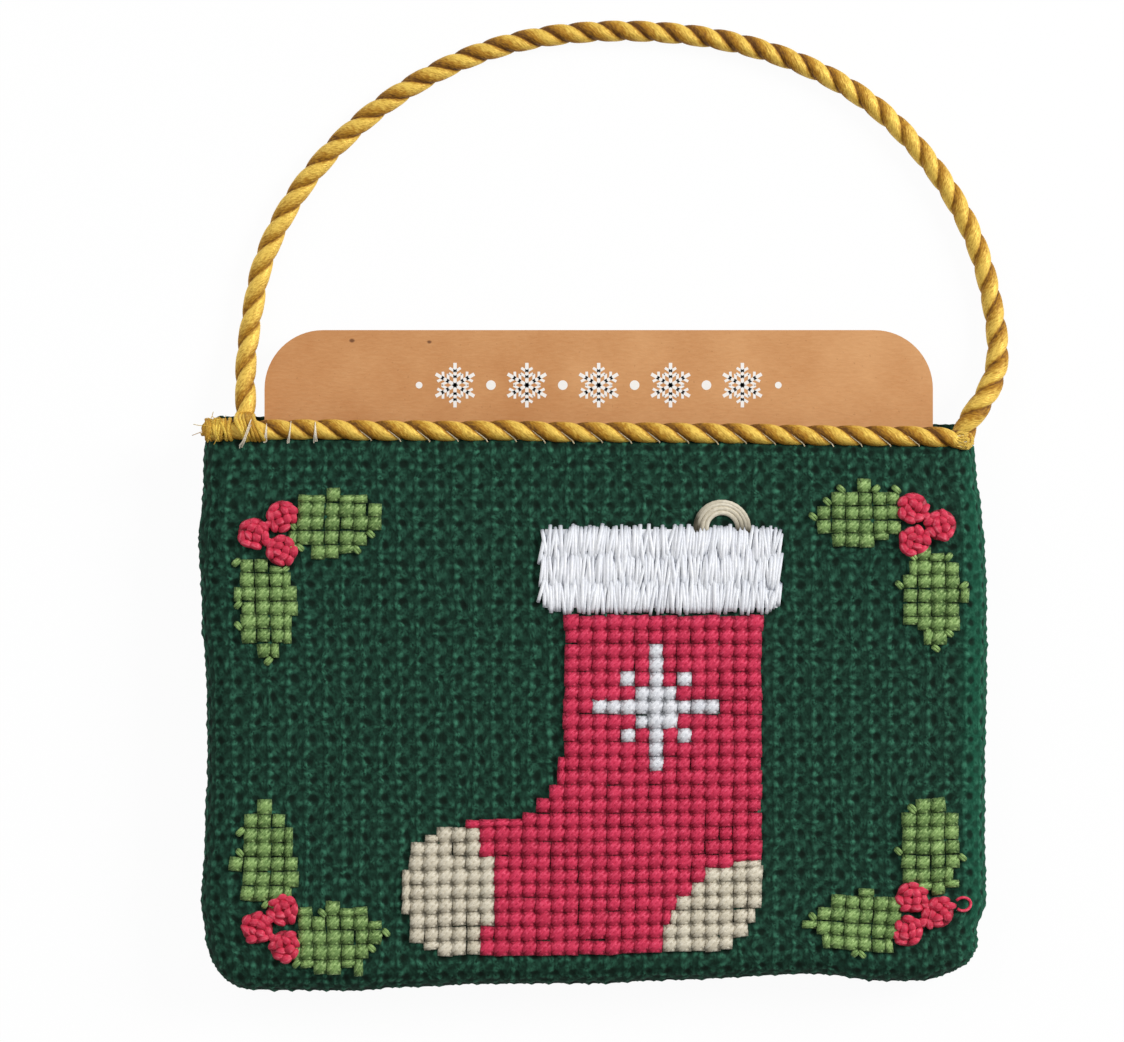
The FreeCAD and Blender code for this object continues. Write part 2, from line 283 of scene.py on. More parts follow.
def woven_green(name, hole_and_shade_tint, low, high, highlight_tint):
    """Evenweave cloth: in each square a dark hole and a hollow with painted shade, three flecks of yarn
    with painted highlights, and painted light on the right edge.
    """
    finish = Finish(name, Specular_IOR_Level=0.12)
    spot = finish.sewn()
    loose = finish.node("TexNoise", {}, {"Vector": spot, "Scale": 1.9, "Detail": 1.0}, 1)
    shift = finish.node("VectorMath", {"operation": "SUBTRACT"}, {0: loose, 1: (0.5, 0.5, 0.5)})
    drawn = finish.node("VectorMath", {"operation": "ADD"}, {0: spot, 1: finish.stretch(shift, 0.24, 0.28)})
    across, up, _ = finish.parts(drawn)
    column = across.fract()
    twice = ((up - 0.15) * (4 * math.pi)).sin() * 0.5 + 0.5
    once = ((up - 0.5) * (2 * math.pi)).sin() * 0.5 + 0.5
    strong = (1 - abs((column - 0.76) / 0.19) ** 2).most(0.0) * (twice * 0.85 + 0.1)
    weak = (1 - abs((column - 0.37) / 0.17) ** 2).most(0.0) * once * once * 0.62
    hole = finish.spot_at(across, up, 0.0, 0.0, 0.24)
    hollow = finish.spot_at(across, up, 0.43, 0.5, 0.24)
    middle = finish.spot_at(across, up, 0.03, 0.45, 0.26) * 0.3
    blot = finish.noise(finish.stretch(spot, 3.8, 3.2), 1.0, 1.5, 0.55)
    grit = finish.noise(finish.stretch(spot, 9.0, 7.0), 1.0, 2.0, 0.6)
    patch = finish.step(finish.noise(spot, 1.3, 1.0), 0.3, 0.7)
    tuft = finish.step(blot * 0.65 + grit * 0.35, 0.33, 0.62)
    # Painted highlight: the flecks brighten the yarn crowns of the relief, where the cloth is also less
    # rough.
    fleck = (strong.most(weak).most(middle) * tuft * (patch * 0.45 + 0.55)).least(1.0)
    ground = finish.blend(finish.step(blot * 0.6 + grit * 0.4, 0.34, 0.66), low, high)
    lit = finish.blend(fleck, ground, highlight_tint)
    # Painted shade: darker in each hole, where the dark lining also shows through, and in the hollow
    # between the yarns.
    dark = (hole * (patch * 0.25 + 0.72)).most(hollow * 0.5)
    # Painted light: the right edge, on the key lamp's side, blends a quarter of the way to a brighter
    # green.
    x, _, _ = finish.parts(finish.place())
    painted_edge_light = finish.blend(finish.step(x, 46.0, 49.0) * 0.25, lit, tint(20, 112, 82))
    finish.give("Base Color", finish.blend(dark, painted_edge_light, hole_and_shade_tint))
    finish.give("Roughness", 0.95 - fleck * 0.3)
    finish.bump(blot + grit * 0.5 + fleck * 0.5, 0.18, 0.6)
    return finish.material


def lining_finish():
    """Near-black plain cotton with a fine weave."""
    finish = Finish("lining_cotton", Specular_IOR_Level=0.2)
    x, y, _ = finish.parts(finish.place())
    weave = (x * 9.0).sin() * (y * 9.0).sin()
    mottle = finish.noise(finish.place(), 1.3, 3.0)
    shade = finish.step(weave * 0.3 + mottle, 0.2, 0.9)
    finish.give("Base Color", finish.blend(shade, tint(14, 17, 15), tint(40, 46, 42)))
    finish.give("Roughness", 0.98 - shade * 0.15)
    finish.bump(weave, 0.06, 0.6)
    return finish.material


def floss(name, shade_tint, dark, light, gleam, gloss=0.25):
    """Cotton floss: fine filaments along the stitch, with painted shade where it dives into the cloth and
    painted highlights on the brightest filaments.
    """
    finish = Finish(name, Specular_IOR_Level=gloss, Sheen_Weight=0.05, Sheen_Roughness=0.4)
    spot = finish.sewn()
    _, along, _ = finish.parts(spot)
    tone = finish.tone()
    fuzz = finish.noise(finish.place(), 2.2, 2.0, 0.6)
    lines = finish.noise(finish.stretch(spot, 6.0, 1.6), 1.0, 1.0, 0.5) * 0.6 + fuzz * 0.4
    # Painted shade: the floss darkens towards both ends of its map, where it dives into the cloth.
    end_shade = abs(along * 2 - 1) ** 4
    share = (finish.step(lines, 0.36, 0.64) * 0.5 + tone * 0.4 + 0.05).least(1.0)
    body = finish.blend(share, dark, light)
    # Painted highlight along the brightest filament lines.
    shine = finish.blend(finish.step(lines, 0.5, 0.7) * 0.45, body, gleam)
    finish.give("Base Color", finish.blend((end_shade * 1.15).least(1.0), shine, shade_tint))
    finish.give("Roughness", 0.85 - gloss * 0.5 - share * 0.2)
    finish.bump(lines, 0.2, 0.8)
    return finish.material


def gold_finish(name, shade_tint, body, highlight_tint, slope):
    """Gold metallic yarn: a painted highlight on each strand's ridge, painted brown shade on the side where
    it goes under the next.
    """
    finish = Finish(name, Specular_IOR_Level=0.3)
    spot = finish.sewn()
    around, along, _ = finish.parts(spot)
    tone = finish.tone()
    strand = around + along * slope
    grain = finish.noise(finish.node("CombineXYZ", {}, {0: strand * 30.0, 1: along * 2.0}), 1.0, 2.0, 0.6)
    patch = finish.noise(finish.node("CombineXYZ", {}, {0: around * 2.0, 1: along * 0.35}), 1.0, 1.0)
    uneven = tone + (grain - 0.5) * 1.25 + (patch - 0.5) * 0.35
    # Painted shade: brown where tone is low, on the groove side of each strand.
    shade = finish.blend(finish.step(uneven, 0.0, 0.6), shade_tint, body)
    # Painted highlight on the ridge, which is also more metallic and less rough.
    ridge = finish.step(uneven, 0.46, 1.14)
    finish.give("Base Color", finish.blend(ridge, shade, highlight_tint))
    finish.give("Roughness", 0.62 - ridge * 0.17)
    finish.give("Metallic", ridge * 0.2 + 0.05)
    finish.bump(grain, 0.16, 0.8)
    return finish.material


def thread_finish(name, dark, light):
    """Plain sewing thread with a fine twist."""
    finish = Finish(name, Specular_IOR_Level=0.4)
    around, along, _ = finish.parts(finish.sewn())
    twist = ((around * 2.0 + along * 3.0) * (2 * math.pi)).sin() * 0.5 + 0.5
    share = (twist * 0.6 + finish.tone() * 0.5).least(1.0)
    finish.give("Base Color", finish.blend(share, dark, light))
    finish.give("Roughness", 0.75 - twist * 0.2)
    finish.bump(twist, 0.05, 0.6)
    return finish.material


# Dark specks in the card's paper: place across and up, and size
SPECKS = ((-30.8, 45.9, 0.42), (-20.9, 45.7, 0.36), (13.0, 40.6, 0.2))


def kraft_finish():
    """Brown kraft paper: fine fibres, a few clouds, small flecks, a few dark specks and painted light
    towards the right.
    """
    finish = Finish("kraft_paper", Specular_IOR_Level=0.3)
    spot = finish.place()
    x, y, _ = finish.parts(spot)
    cloud = finish.noise(spot, 0.12, 3.0)
    fibre = finish.noise(finish.stretch(spot, 0.7, 2.6, 1.0), 1.2, 4.0, 0.7)
    fleck = finish.step(finish.noise(spot, 2.1, 1.0), 0.71, 0.76)
    # Painted light: the x term makes the card lighter towards the right, the key lamp's side.
    sway = x * 0.0013 + 0.23 + cloud * 0.35 + fibre * 0.25
    base = finish.blend(finish.step(sway, 0.25, 0.8), tint(187, 124, 71), tint(222, 168, 115))
    worn = finish.blend(fleck * 0.25, base, tint(150, 96, 56))
    dark = None
    for speck_x, speck_y, size in SPECKS:
        away = ((x - speck_x) ** 2.0 + ((y - speck_y) * 1.4) ** 2.0) ** 0.5
        mark = 1 - finish.step(away + fibre * 0.3, size * 0.8, size * 1.5)
        dark = mark if dark is None else dark.most(mark)
    finish.give("Base Color", finish.blend(dark * 0.8, worn, tint(88, 50, 28)))
    finish.give("Roughness", 0.82 - fibre * 0.15)
    finish.bump(fibre + cloud, 0.05, 0.5)
    return finish.material


def print_finish():
    """White screen print with the paper's tooth showing a little."""
    finish = Finish("white_print", Specular_IOR_Level=0.3)
    spot = finish.place()
    tooth = finish.noise(spot, 4.0, 3.0, 0.7)
    thin = finish.step(tooth, 0.66, 0.8)
    finish.give("Base Color", finish.blend(thin * 0.35, tint(246, 243, 238), tint(222, 190, 155)))
    finish.give("Roughness", 0.7 - tooth * 0.1)
    finish.bump(tooth, 0.02, 0.4)
    return finish.material


def floor_finish():
    """White table: the camera sees it nearly white, with the object's soft shadow kept."""
    finish = Finish("white_table", Roughness=0.9)
    mottle = finish.noise(finish.place(), 0.02, 2.0)
    finish.give("Base Color", finish.blend(mottle, (0.93, 0.93, 0.93, 1), (0.96, 0.96, 0.96, 1)))
    direct = finish.node("LightPath", {}, {}, 0)
    glossy = finish.node("LightPath", {}, {}, 3)
    clear = finish.node("LightPath", {}, {}, 6)
    glow = finish.node("Emission", {}, {"Color": (1, 1, 1, 1), "Strength": 1.0})
    seen = direct.most(glossy).most(clear) * 0.95
    plain = Value(finish, finish.shader.outputs[0])
    mixed = finish.node("MixShader", {}, {0: seen, 1: plain, 2: glow})
    finish.feed(finish.tree.nodes["Material Output"].inputs[0], mixed)
    return finish.material


# Cloth: how the flat-cut cloth lies on the pouch


def run_along(line):
    """Length from the start of a line to each of its points."""
    return np.concatenate(([0], np.cumsum(np.linalg.norm(np.diff(line, axis=0), axis=1))))


def points_at(where, run, line):
    """Points of a line where its run reaches the given lengths."""
    return np.column_stack([np.interp(where, run, part) for part in line.T])


def ripple(x, y, length, seed):
    """Smooth unevenness, about -1 to 1, with humps about one length apart."""
    dice = random.Random(seed)
    total = 0.0
    for _ in range(7):
        turn = dice.uniform(0, 2 * math.pi)
        pace = 2 * math.pi / (length * dice.uniform(0.7, 1.5))
        total = total + np.sin(pace * (x * math.cos(turn) + y * math.sin(turn)) + dice.uniform(0, 6.28))
    return total / 2.6


def eased(where, marks):
    """Soft curve through marks of (place, amount)."""
    places = np.array([m[0] for m in marks])
    amounts = np.array([m[1] for m in marks])
    step = np.clip(np.searchsorted(places, where) - 1, 0, len(marks) - 2)
    share = np.clip((where - places[step]) / (places[step + 1] - places[step]), 0, 1)
    soft = share * share * (3 - 2 * share)
    return amounts[step] * (1 - soft) + amounts[step + 1] * soft


# How far the edges stand out from a straight-sided pouch
LEFT_SWELL = [
    (-36, -0.5), (-33, -0.75), (-30, -0.5), (-26, 0.05), (-18, -0.4), (-8, -0.75),
    (1, -0.65), (12.5, 0.0), (20.5, 0.4), (27, -0.2), (34, -0.4),
]
RIGHT_SWELL = [
    (-36, -0.3), (-33, -0.45), (-30.5, -0.9), (-26, 0.25), (-15, 0.1), (-7, 0.15),
    (4, 0.4), (13, 0.35), (20, 0.1), (25.5, -0.4), (29, -0.95), (34, -1.15),
]
BOTTOM_SWELL = [
    (-50, 0.4), (-42, 0.85), (-31, 0.9), (-23, 0.4), (-14, 0.05), (0, 0.0),
    (11, -0.5), (28, -1.2), (38, -0.3), (42, -0.35), (46, -1.1), (50, -1.0),
]
MOUTH_SWELL = [(-50, 0.0), (-20, -0.1), (10, -0.35), (35, -0.75), (50, -0.9)]


def settle(x, y):
    """Uneven outline of the sewn pouch, carried by everything on it."""
    right = np.clip(x / HALF_WIDTH, 0, 1.1) ** 3
    left = np.clip(-x / HALF_WIDTH, 0, 1.1) ** 3
    low = np.clip((-4 - y) / 32, 0, 1.1) ** 2
    high = np.clip((y + 6) / 39, 0, 1.1) ** 2
    new_x = x + right * eased(y, RIGHT_SWELL) - left * eased(y, LEFT_SWELL)
    new_y = y - low * eased(x, BOTTOM_SWELL) + high * eased(x, MOUTH_SWELL)
    return new_x, new_y


def crown(x, y):
    """Height of the front's face, a little higher in the middle and not quite even."""
    dome = (1 - (x / HALF_WIDTH) ** 2) * (1 - 0.5 * ((y + 1.6) / 35) ** 4)
    hem = np.exp(-(((y - 28.3) / 0.7) ** 2))
    return 9.35 + 0.6 * dome + 0.16 * ripple(x, y, 26.0, 3) - 0.16 * hem


def weave(u, v):
    """Relief of the evenweave, 0 in a hole to 1 on a yarn, at u and v squares across and up."""
    column = u - np.floor(u)
    row = v - np.floor(v)
    twice = np.sin(4 * np.pi * (v - 0.15)) * 0.5 + 0.5
    once = np.sin(2 * np.pi * (v - 0.5)) * 0.5 + 0.5
    strong = np.maximum(1 - ((column - 0.76) / 0.24) ** 2, 0) * (0.6 + 0.4 * twice)
    weak = np.maximum(1 - ((column - 0.37) / 0.22) ** 2, 0) * (0.3 + 0.5 * once)
    side = (column + 0.5) % 1.0 - 0.5
    hole = np.exp(-((side / 0.16) ** 2) - (((row + 0.5) % 1.0 - 0.5) / 0.18) ** 2)
    hollow = 0.6 * np.exp(-(((column - 0.43) / 0.14) ** 2) - ((row - 0.5) / 0.16) ** 2)
    return np.maximum(np.maximum(strong, weak), 0.45) * (1 - hole) * (1 - hollow)


def roll_line(out, drop, tuck, tuck_drop):
    """Section of a cloth that rolls over an edge: length along it, reach, drop and the way it faces."""
    turn = np.linspace(0, math.pi / 2, 60)
    reach = out * np.sin(turn)
    fall = drop * (1 - np.cos(turn))
    if tuck:
        under = np.linspace(0, math.pi / 2, 60)[1:]
        reach = np.concatenate((reach, out - tuck * (1 - np.cos(under))))
        fall = np.concatenate((fall, drop + tuck_drop * np.sin(under)))
    run = run_along(np.column_stack((reach, fall)))
    facing_out = np.gradient(fall, run)
    facing_up = np.gradient(reach, run)
    size = np.hypot(facing_out, facing_up)
    return run, reach, fall, facing_out / size, facing_up / size


class Cloth:
    """One side of the pouch: a flat middle whose sides and bottom roll over, turned in at the mouth."""

    def __init__(self, edge, roll, corner, top, fold, face, way):
        self.roll = roll
        reach = roll[1].max()
        self.half = edge - reach
        self.low = BOTTOM + (HALF_WIDTH - edge) + reach
        self.corner = corner - reach
        self.top = top - fold
        self.fold = fold
        self.face = face
        self.way = way
        self.rim = roll[0][-1]

    def beyond(self, a, b):
        """How far a point of the flat cloth is past the flat middle, and which way out that is."""
        over_x = np.maximum(np.abs(a) - (self.half - self.corner), 0)
        over_y = np.maximum((self.low + self.corner) - b, 0)
        far = np.hypot(over_x, over_y)
        size = np.maximum(far, 1e-9)
        return np.maximum(far - self.corner, 0), np.sign(a) * over_x / size, -over_y / size

    def lay(self, a, b, lift):
        """Where the point a across and b up the flat cloth lies, lifted off its face."""
        up = np.minimum(b, self.top)
        far, out_x, out_y = self.beyond(a, up)
        run, reach, fall, facing_out, facing_up = self.roll
        past = np.minimum(far, self.rim)
        core_x = a - out_x * far
        core_y = up - out_y * far
        x = core_x + out_x * np.interp(past, run, reach)
        y = core_y + out_y * np.interp(past, run, reach)
        z = self.face(core_x, core_y) - self.way * np.interp(past, run, fall)
        outward = np.interp(past, run, facing_out)
        face_x, face_y = out_x * outward, out_y * outward
        face_z = self.way * np.interp(past, run, facing_up)
        over = np.maximum(b - self.top, 0)
        angle = np.minimum(over / self.fold, math.pi)
        rest = np.maximum(over - math.pi * self.fold, 0)
        shift = lift * np.cos(angle) - self.fold * (1 - np.cos(angle))
        y = y + (self.fold + lift) * np.sin(angle) - rest
        x, y, z = x + face_x * shift, y + face_y * shift, z + face_z * shift
        x, y = settle(x, y)
        return np.column_stack((x, y, z))


FRONT = Cloth(
    edge=HALF_WIDTH,
    roll=roll_line(out=3.0, drop=4.2, tuck=SEAM_INSET, tuck_drop=3.2),
    corner=CORNER,
    top=MOUTH + 0.3,
    fold=0.7,
    face=crown,
    way=1,
)
BACK = Cloth(
    edge=HALF_WIDTH - SEAM_INSET,
    roll=roll_line(out=2.0, drop=1.9, tuck=0, tuck_drop=0),
    corner=CORNER - SEAM_INSET,
    top=BACK_TOP,
    fold=0.95,
    face=lambda x, y: 0.06 + 0.0 * x,
    way=-1,
)


def flat_grid(name, columns, rows):
    """A grid one unit square, as the start of a piece of cloth."""
    bpy.ops.object.select_all(action="DESELECT")
    bpy.ops.mesh.primitive_grid_add(x_subdivisions=columns, y_subdivisions=rows, size=1)
    made = bpy.context.object
    made.name = name
    made.data.name = name
    return made


def points_of(made):
    """Points of a piece's mesh, one to a row."""
    flat = np.empty(len(made.data.vertices) * 3)
    made.data.vertices.foreach_get("co", flat)
    return flat.reshape(-1, 3)


def corners_of(made):
    """Number of the point at each corner of each face of a piece's mesh."""
    corner = np.empty(len(made.data.loops), int)
    made.data.loops.foreach_get("vertex_index", corner)
    return corner


def map_piece(made, u, v):
    """Writes the piece's own map from a pair of numbers for each point."""
    layer = made.data.uv_layers.active or made.data.uv_layers.new()
    layer.name = "sewn"
    corner = corners_of(made)
    pairs = np.column_stack((u[corner], v[corner])).astype(np.float32)
    layer.data.foreach_set("uv", pairs.ravel())


def pick(made, chosen):
    """Selects the points marked in chosen, and no others, in edit mode."""
    bpy.ops.object.mode_set(mode="OBJECT")
    made.data.polygons.foreach_set("select", np.zeros(len(made.data.polygons), bool))
    made.data.edges.foreach_set("select", np.zeros(len(made.data.edges), bool))
    made.data.vertices.foreach_set("select", chosen)
    bpy.context.tool_settings.mesh_select_mode = (True, False, False)
    bpy.ops.object.mode_set(mode="EDIT")


def taken_apart(made, across, along):
    """Points, faces and map of a modelled shape that is to be copied; the model itself goes."""
    faces = [tuple(face.vertices) for face in made.data.polygons]
    places = [(across[i], along[i]) for face in faces for i in face]
    points = points_of(made) / MM
    bpy.data.objects.remove(made)
    return points, faces, places


def drop_faces(made, gone):
    """Deletes the faces marked in gone, and what hangs on them alone."""
    made.data.vertices.foreach_set("select", np.zeros(len(made.data.vertices), bool))
    made.data.edges.foreach_set("select", np.zeros(len(made.data.edges), bool))
    made.data.polygons.foreach_set("select", gone)
    bpy.context.tool_settings.mesh_select_mode = (False, False, True)
    bpy.ops.object.mode_set(mode="EDIT")
    bpy.ops.mesh.delete(type="FACE")
    bpy.ops.object.mode_set(mode="OBJECT")


def cut_cloth(name, cloth, step_x, step_y, hem, relief, lift, seed):
    """Cuts a flat cloth to its rim, lays it on the pouch and presses the weave into it."""
    wide = math.ceil((cloth.half + cloth.rim) / step_x)
    low = math.floor((cloth.low - cloth.rim) / step_y)
    high = math.ceil((cloth.top + hem) / step_y)
    made = flat_grid(name, 2 * wide, high - low)
    start = points_of(made)
    column = np.rint((start[:, 0] + 0.5) * 2 * wide) - wide
    row = np.rint((start[:, 1] + 0.5) * (high - low)) + low
    a, b = column * step_x, row * step_y
    u, v = a / WEAVE_X, b / WEAVE_Y
    sway = 0.16 if relief else 0.0
    wander_a = a + sway * (ripple(a, b, 5.0, seed) + ripple(a, b, 19.0, seed + 1))
    wander_b = b + sway * (ripple(a, b, 5.0, seed + 2) + ripple(a, b, 19.0, seed + 3))
    height = lift
    if relief:
        uneven = 1 + 0.25 * ripple(a, b, 3.1, seed + 4)
        height = lift + relief * uneven * weave(u, v)
    points = cloth.lay(wander_a, wander_b, height)
    made.data.vertices.foreach_set("co", (points * MM).ravel())
    map_piece(made, u, v)
    past, _, _ = cloth.beyond(a, np.minimum(b, cloth.top))
    drop_faces(made, past[corners_of(made)].reshape(-1, 4).min(axis=1) >= cloth.rim)
    if cloth.way < 0:
        made.data.flip_normals()
    return made


def dress(made, material, body="pouch", smooth=True):
    """Gives a finished piece its material and the body that carries it."""
    made.data.materials.clear()
    made.data.materials.append(material)
    bpy.ops.object.select_all(action="DESELECT")
    made.select_set(True)
    bpy.context.view_layer.objects.active = made
    if smooth:
        bpy.ops.object.shade_smooth()
    if body:
        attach(made, body)
    return made


def front_cloth(green):
    """Evenweave of the front, rolled down round its edge and turned in at the mouth."""
    steps = (WEAVE_X / 8, WEAVE_Y / 8)
    made = cut_cloth("front_cloth", FRONT, *steps, hem=3.4, relief=0.32, lift=-0.2, seed=11)
    dress(made, green)
    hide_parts("front_panel")


def back_cloth(green):
    """Evenweave of the back, which lies on the table, turned in at the mouth."""
    steps = (WEAVE_X / 6, WEAVE_Y / 6)
    made = cut_cloth("back_cloth", BACK, *steps, hem=7.0, relief=0.26, lift=-0.26, seed=31)
    dress(made, green)
    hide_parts("back_panel")


def linings(dark):
    """Lining cloths inside the front and the back."""
    steps = (WEAVE_X / 2, WEAVE_Y / 2)
    front = cut_cloth("front_lining_cloth", FRONT, *steps, hem=-1.2, relief=0, lift=-1.15, seed=51)
    front.data.flip_normals()
    dress(front, dark)
    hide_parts("front_lining")
    back = cut_cloth("back_lining_cloth", BACK, *steps, hem=-1.0, relief=0, lift=-2.15, seed=61)
    back.data.flip_normals()
    dress(back, dark)
    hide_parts("back_lining")


# Threads and cords


def frames(line):
    """Two ways square to a line and to each other, at each of its points, with no twist of their own."""
    ahead = np.gradient(line, axis=0)
    ahead /= np.linalg.norm(ahead, axis=1)[:, None]
    first = np.cross(ahead[0], (0.31, 0.27, 0.91))
    side = np.empty_like(line)
    side[0] = first / np.linalg.norm(first)
    for i in range(1, len(line)):
        flat = side[i - 1] - ahead[i] * np.dot(side[i - 1], ahead[i])
        side[i] = flat / np.linalg.norm(flat)
    return side, np.cross(ahead, side)


def skin(line, radius, sides):
    """Closed tube round a line: points, faces and the map of each face's corners."""
    side, other = frames(line)
    radius = np.broadcast_to(radius, len(line))
    turn = np.linspace(0, 2 * np.pi, sides, endpoint=False)
    ring = side[:, None, :] * np.cos(turn)[None, :, None] + other[:, None, :] * np.sin(turn)[None, :, None]
    points = (line[:, None, :] + ring * radius[:, None, None]).reshape(-1, 3)
    return tube_faces(points, len(line), sides, run_along(line))


def tube_faces(points, count, sides, run):
    """Faces and map of a tube whose points go round it ring by ring, with both ends closed."""
    faces = []
    places = []
    for i in range(count - 1):
        for j in range(sides):
            k = (j + 1) % sides
            faces.append((i * sides + j, i * sides + k, (i + 1) * sides + k, (i + 1) * sides + j))
            near, far = j / sides, (j + 1) / sides
            places += [(near, run[i]), (far, run[i]), (far, run[i + 1]), (near, run[i + 1])]
    faces.append(tuple(reversed(range(sides))))
    places += [(j / sides, run[0]) for j in reversed(range(sides))]
    last = (count - 1) * sides
    faces.append(tuple(range(last, last + sides)))
    places += [(j / sides, run[-1]) for j in range(sides)]
    return points, faces, places


class Bundle:
    """Threads, strands or stitches that make up one piece."""

    def __init__(self):
        self.points = []
        self.faces = []
        self.places = []
        self.tones = []
        self.count = 0

    def add(self, shape, tone):
        points, faces, places = shape
        self.points.append(np.asarray(points))
        self.faces += [tuple(index + self.count for index in face) for face in faces]
        self.places += places
        self.tones.append(np.broadcast_to(tone, len(points)))
        self.count += len(points)

    def make(self, name):
        mesh = bpy.data.meshes.new(name)
        mesh.from_pydata(np.vstack(self.points) * MM, [], self.faces)
        layer = mesh.uv_layers.new(name="sewn")
        layer.data.foreach_set("uv", np.array(self.places, np.float32).ravel())
        shade = mesh.attributes.new("tone", "FLOAT", "POINT")
        shade.data.foreach_set("value", np.concatenate(self.tones).astype(np.float32))
        made = bpy.data.objects.new(name, mesh)
        bpy.context.scene.collection.objects.link(made)
        return made


def route_points(name, route, step):
    """Even points along the smooth spline of a cord's route, both in millimetres."""
    curve = bpy.data.curves.new(name, "CURVE")
    curve.dimensions = "3D"
    curve.resolution_u = 24
    spline = curve.splines.new("NURBS")
    spline.points.add(len(route) - 1)
    for point, place in zip(spline.points, route):
        point.co = (place[0] * MM, place[1] * MM, place[2] * MM, 1)
    spline.order_u = 3
    spline.use_endpoint_u = True
    holder = bpy.data.objects.new(name, curve)
    bpy.context.scene.collection.objects.link(holder)
    bpy.context.view_layer.update()
    mesh = bpy.data.meshes.new_from_object(holder)
    line = np.array([v.co for v in mesh.vertices]) / MM
    bpy.data.objects.remove(holder)
    bpy.data.meshes.remove(mesh)
    run = run_along(line)
    return points_at(np.linspace(0, run[-1], int(run[-1] / step) + 1), run, line)


# Turn of the twist where the trim starts and where the handle ends, and the place of a strand's ridge
# across it, from -1 to 1
TRIM_START = 1.0
HANDLE_END_TURN = 6.13
STRAND_RIDGE = -0.4


def turns_along(line, lay):
    """Turn of the twist at each point of a line, from 0 at its start; the lay may vary along it."""
    steps = np.linalg.norm(np.diff(line, axis=0), axis=1)
    lays = np.broadcast_to(lay, len(line))
    return 2 * np.pi * np.concatenate(([0], np.cumsum(steps / lays[1:])))


def twist_cord(bundle, line, turn, size, even):
    """Two soft strands pressed round each other, with painted shade from ridge to groove, less where even
    is high.
    """
    side, other = frames(line)
    round_it = np.linspace(0, 2 * np.pi, CORD_SIDES, endpoint=False)
    across = (round_it / np.pi) % 1.0 * 2 - 1
    radius = CORD_WIDTH / 2 * (1.05 - 0.3 * abs(across) ** 3.2)
    angle = round_it[None, :] + turn[:, None]
    out = side[:, None, :] * np.cos(angle)[:, :, None] + other[:, None, :] * np.sin(angle)[:, :, None]
    points = line[:, None, :] + out * (radius[None, :] * size[:, None])[:, :, None]
    # Tone that the gold finish turns into painted shade: low in the groove on one side of each strand, high
    # on its ridge.
    ridge = np.where(across > STRAND_RIDGE, (across - STRAND_RIDGE) / (1 - STRAND_RIDGE), 0)
    ridge = np.where(across < STRAND_RIDGE, ((STRAND_RIDGE - across) / (1 + STRAND_RIDGE)) ** 3, ridge)
    calm = even[:, None]
    tone = 1 - ridge[None, :] ** (1 + calm * 2) * (1 - calm)
    bundle.add(tube_faces(points.reshape(-1, 3), len(line), CORD_SIDES, run_along(line)), tone.ravel())


# Route of the handle: sewn end, free arch on the table, sewn end
HANDLE_ROUTE = [
    (HANDLE_LEFT, 24.2, HANDLE_HEIGHT),
    (HANDLE_LEFT, 30.0, HANDLE_HEIGHT),
    (HANDLE_LEFT, 35.5, HANDLE_HEIGHT),
    (HANDLE_LEFT, 38.3, HANDLE_HEIGHT),
    (-44.5, 42.5, 2.4),
    (-43.9, 48.0, 1.3),
    (-42.3, 57.1, 1.3),
    (-36.3, 67.8, 1.3),
    (-25.8, 77.6, 1.3),
    (-12.0, 84.3, 1.3),
    (3.55, 86.1, 1.3),
    (19.65, 84.4, 1.3),
    (33.65, 78.6, 1.3),
    (43.3, 69.5, 1.3),
    (49.5, 58.85, 1.3),
    (51.95, 47.9, 1.3),
    (52.0, 42.2, 2.2),
    (50.0, 38.0, HANDLE_HEIGHT),
    (47.6, 35.0, HANDLE_HEIGHT),
    (HANDLE_RIGHT, 30.0, HANDLE_HEIGHT),
    (46.7, 24.2, HANDLE_HEIGHT),
]
# How even the handle's shading is, and its lay, at places across it
HANDLE_EVEN = ((-42, -26, -12, 22, 42), (0.34, 0.08, 0.0, 0.0, 0.3))
HANDLE_LAY = ((-32, -14), (8.2, CORD_LAY))


def handle_rope(gold):
    """Gold cord handle, from one sewn end over the free arch to the other."""
    line = route_points("handle_route", HANDLE_ROUTE, 0.35)
    bundle = Bundle()
    x, y = line[:, 0], line[:, 1]
    loose = np.where(x > 40, np.clip((50 - y) / 10, 0, 1), 0)
    even = np.interp(x, *HANDLE_EVEN)
    even -= np.where(x > 40, 0.12 * np.clip((60 - y) / 10, 0, 1), 0)
    turn = turns_along(line, np.interp(x, *HANDLE_LAY))
    turn += HANDLE_END_TURN - turn[-1]
    twist_cord(bundle, line, turn, 1.04 + 0.12 * loose, even)
    made = dress(bundle.make("handle_rope"), gold, None)
    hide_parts("handle_cord", "handle_end_left", "handle_end_right")
    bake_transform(made)


def trim_line():
    """Line of the trim along the mouth, from the left corner to the right, where it droops."""
    x = np.linspace(-49.4, 49.2, 290)
    droop = np.clip((x - 42.5) / 6, 0, 1.2) ** 2
    y = TRIM_Y + 0.05 * ripple(x, 0 * x, 14.0, 5) - 0.42 * droop
    z = crown(x, 0 * x + MOUTH) - 0.25
    x, y = settle(x, y)
    return np.column_stack((x, y, z))


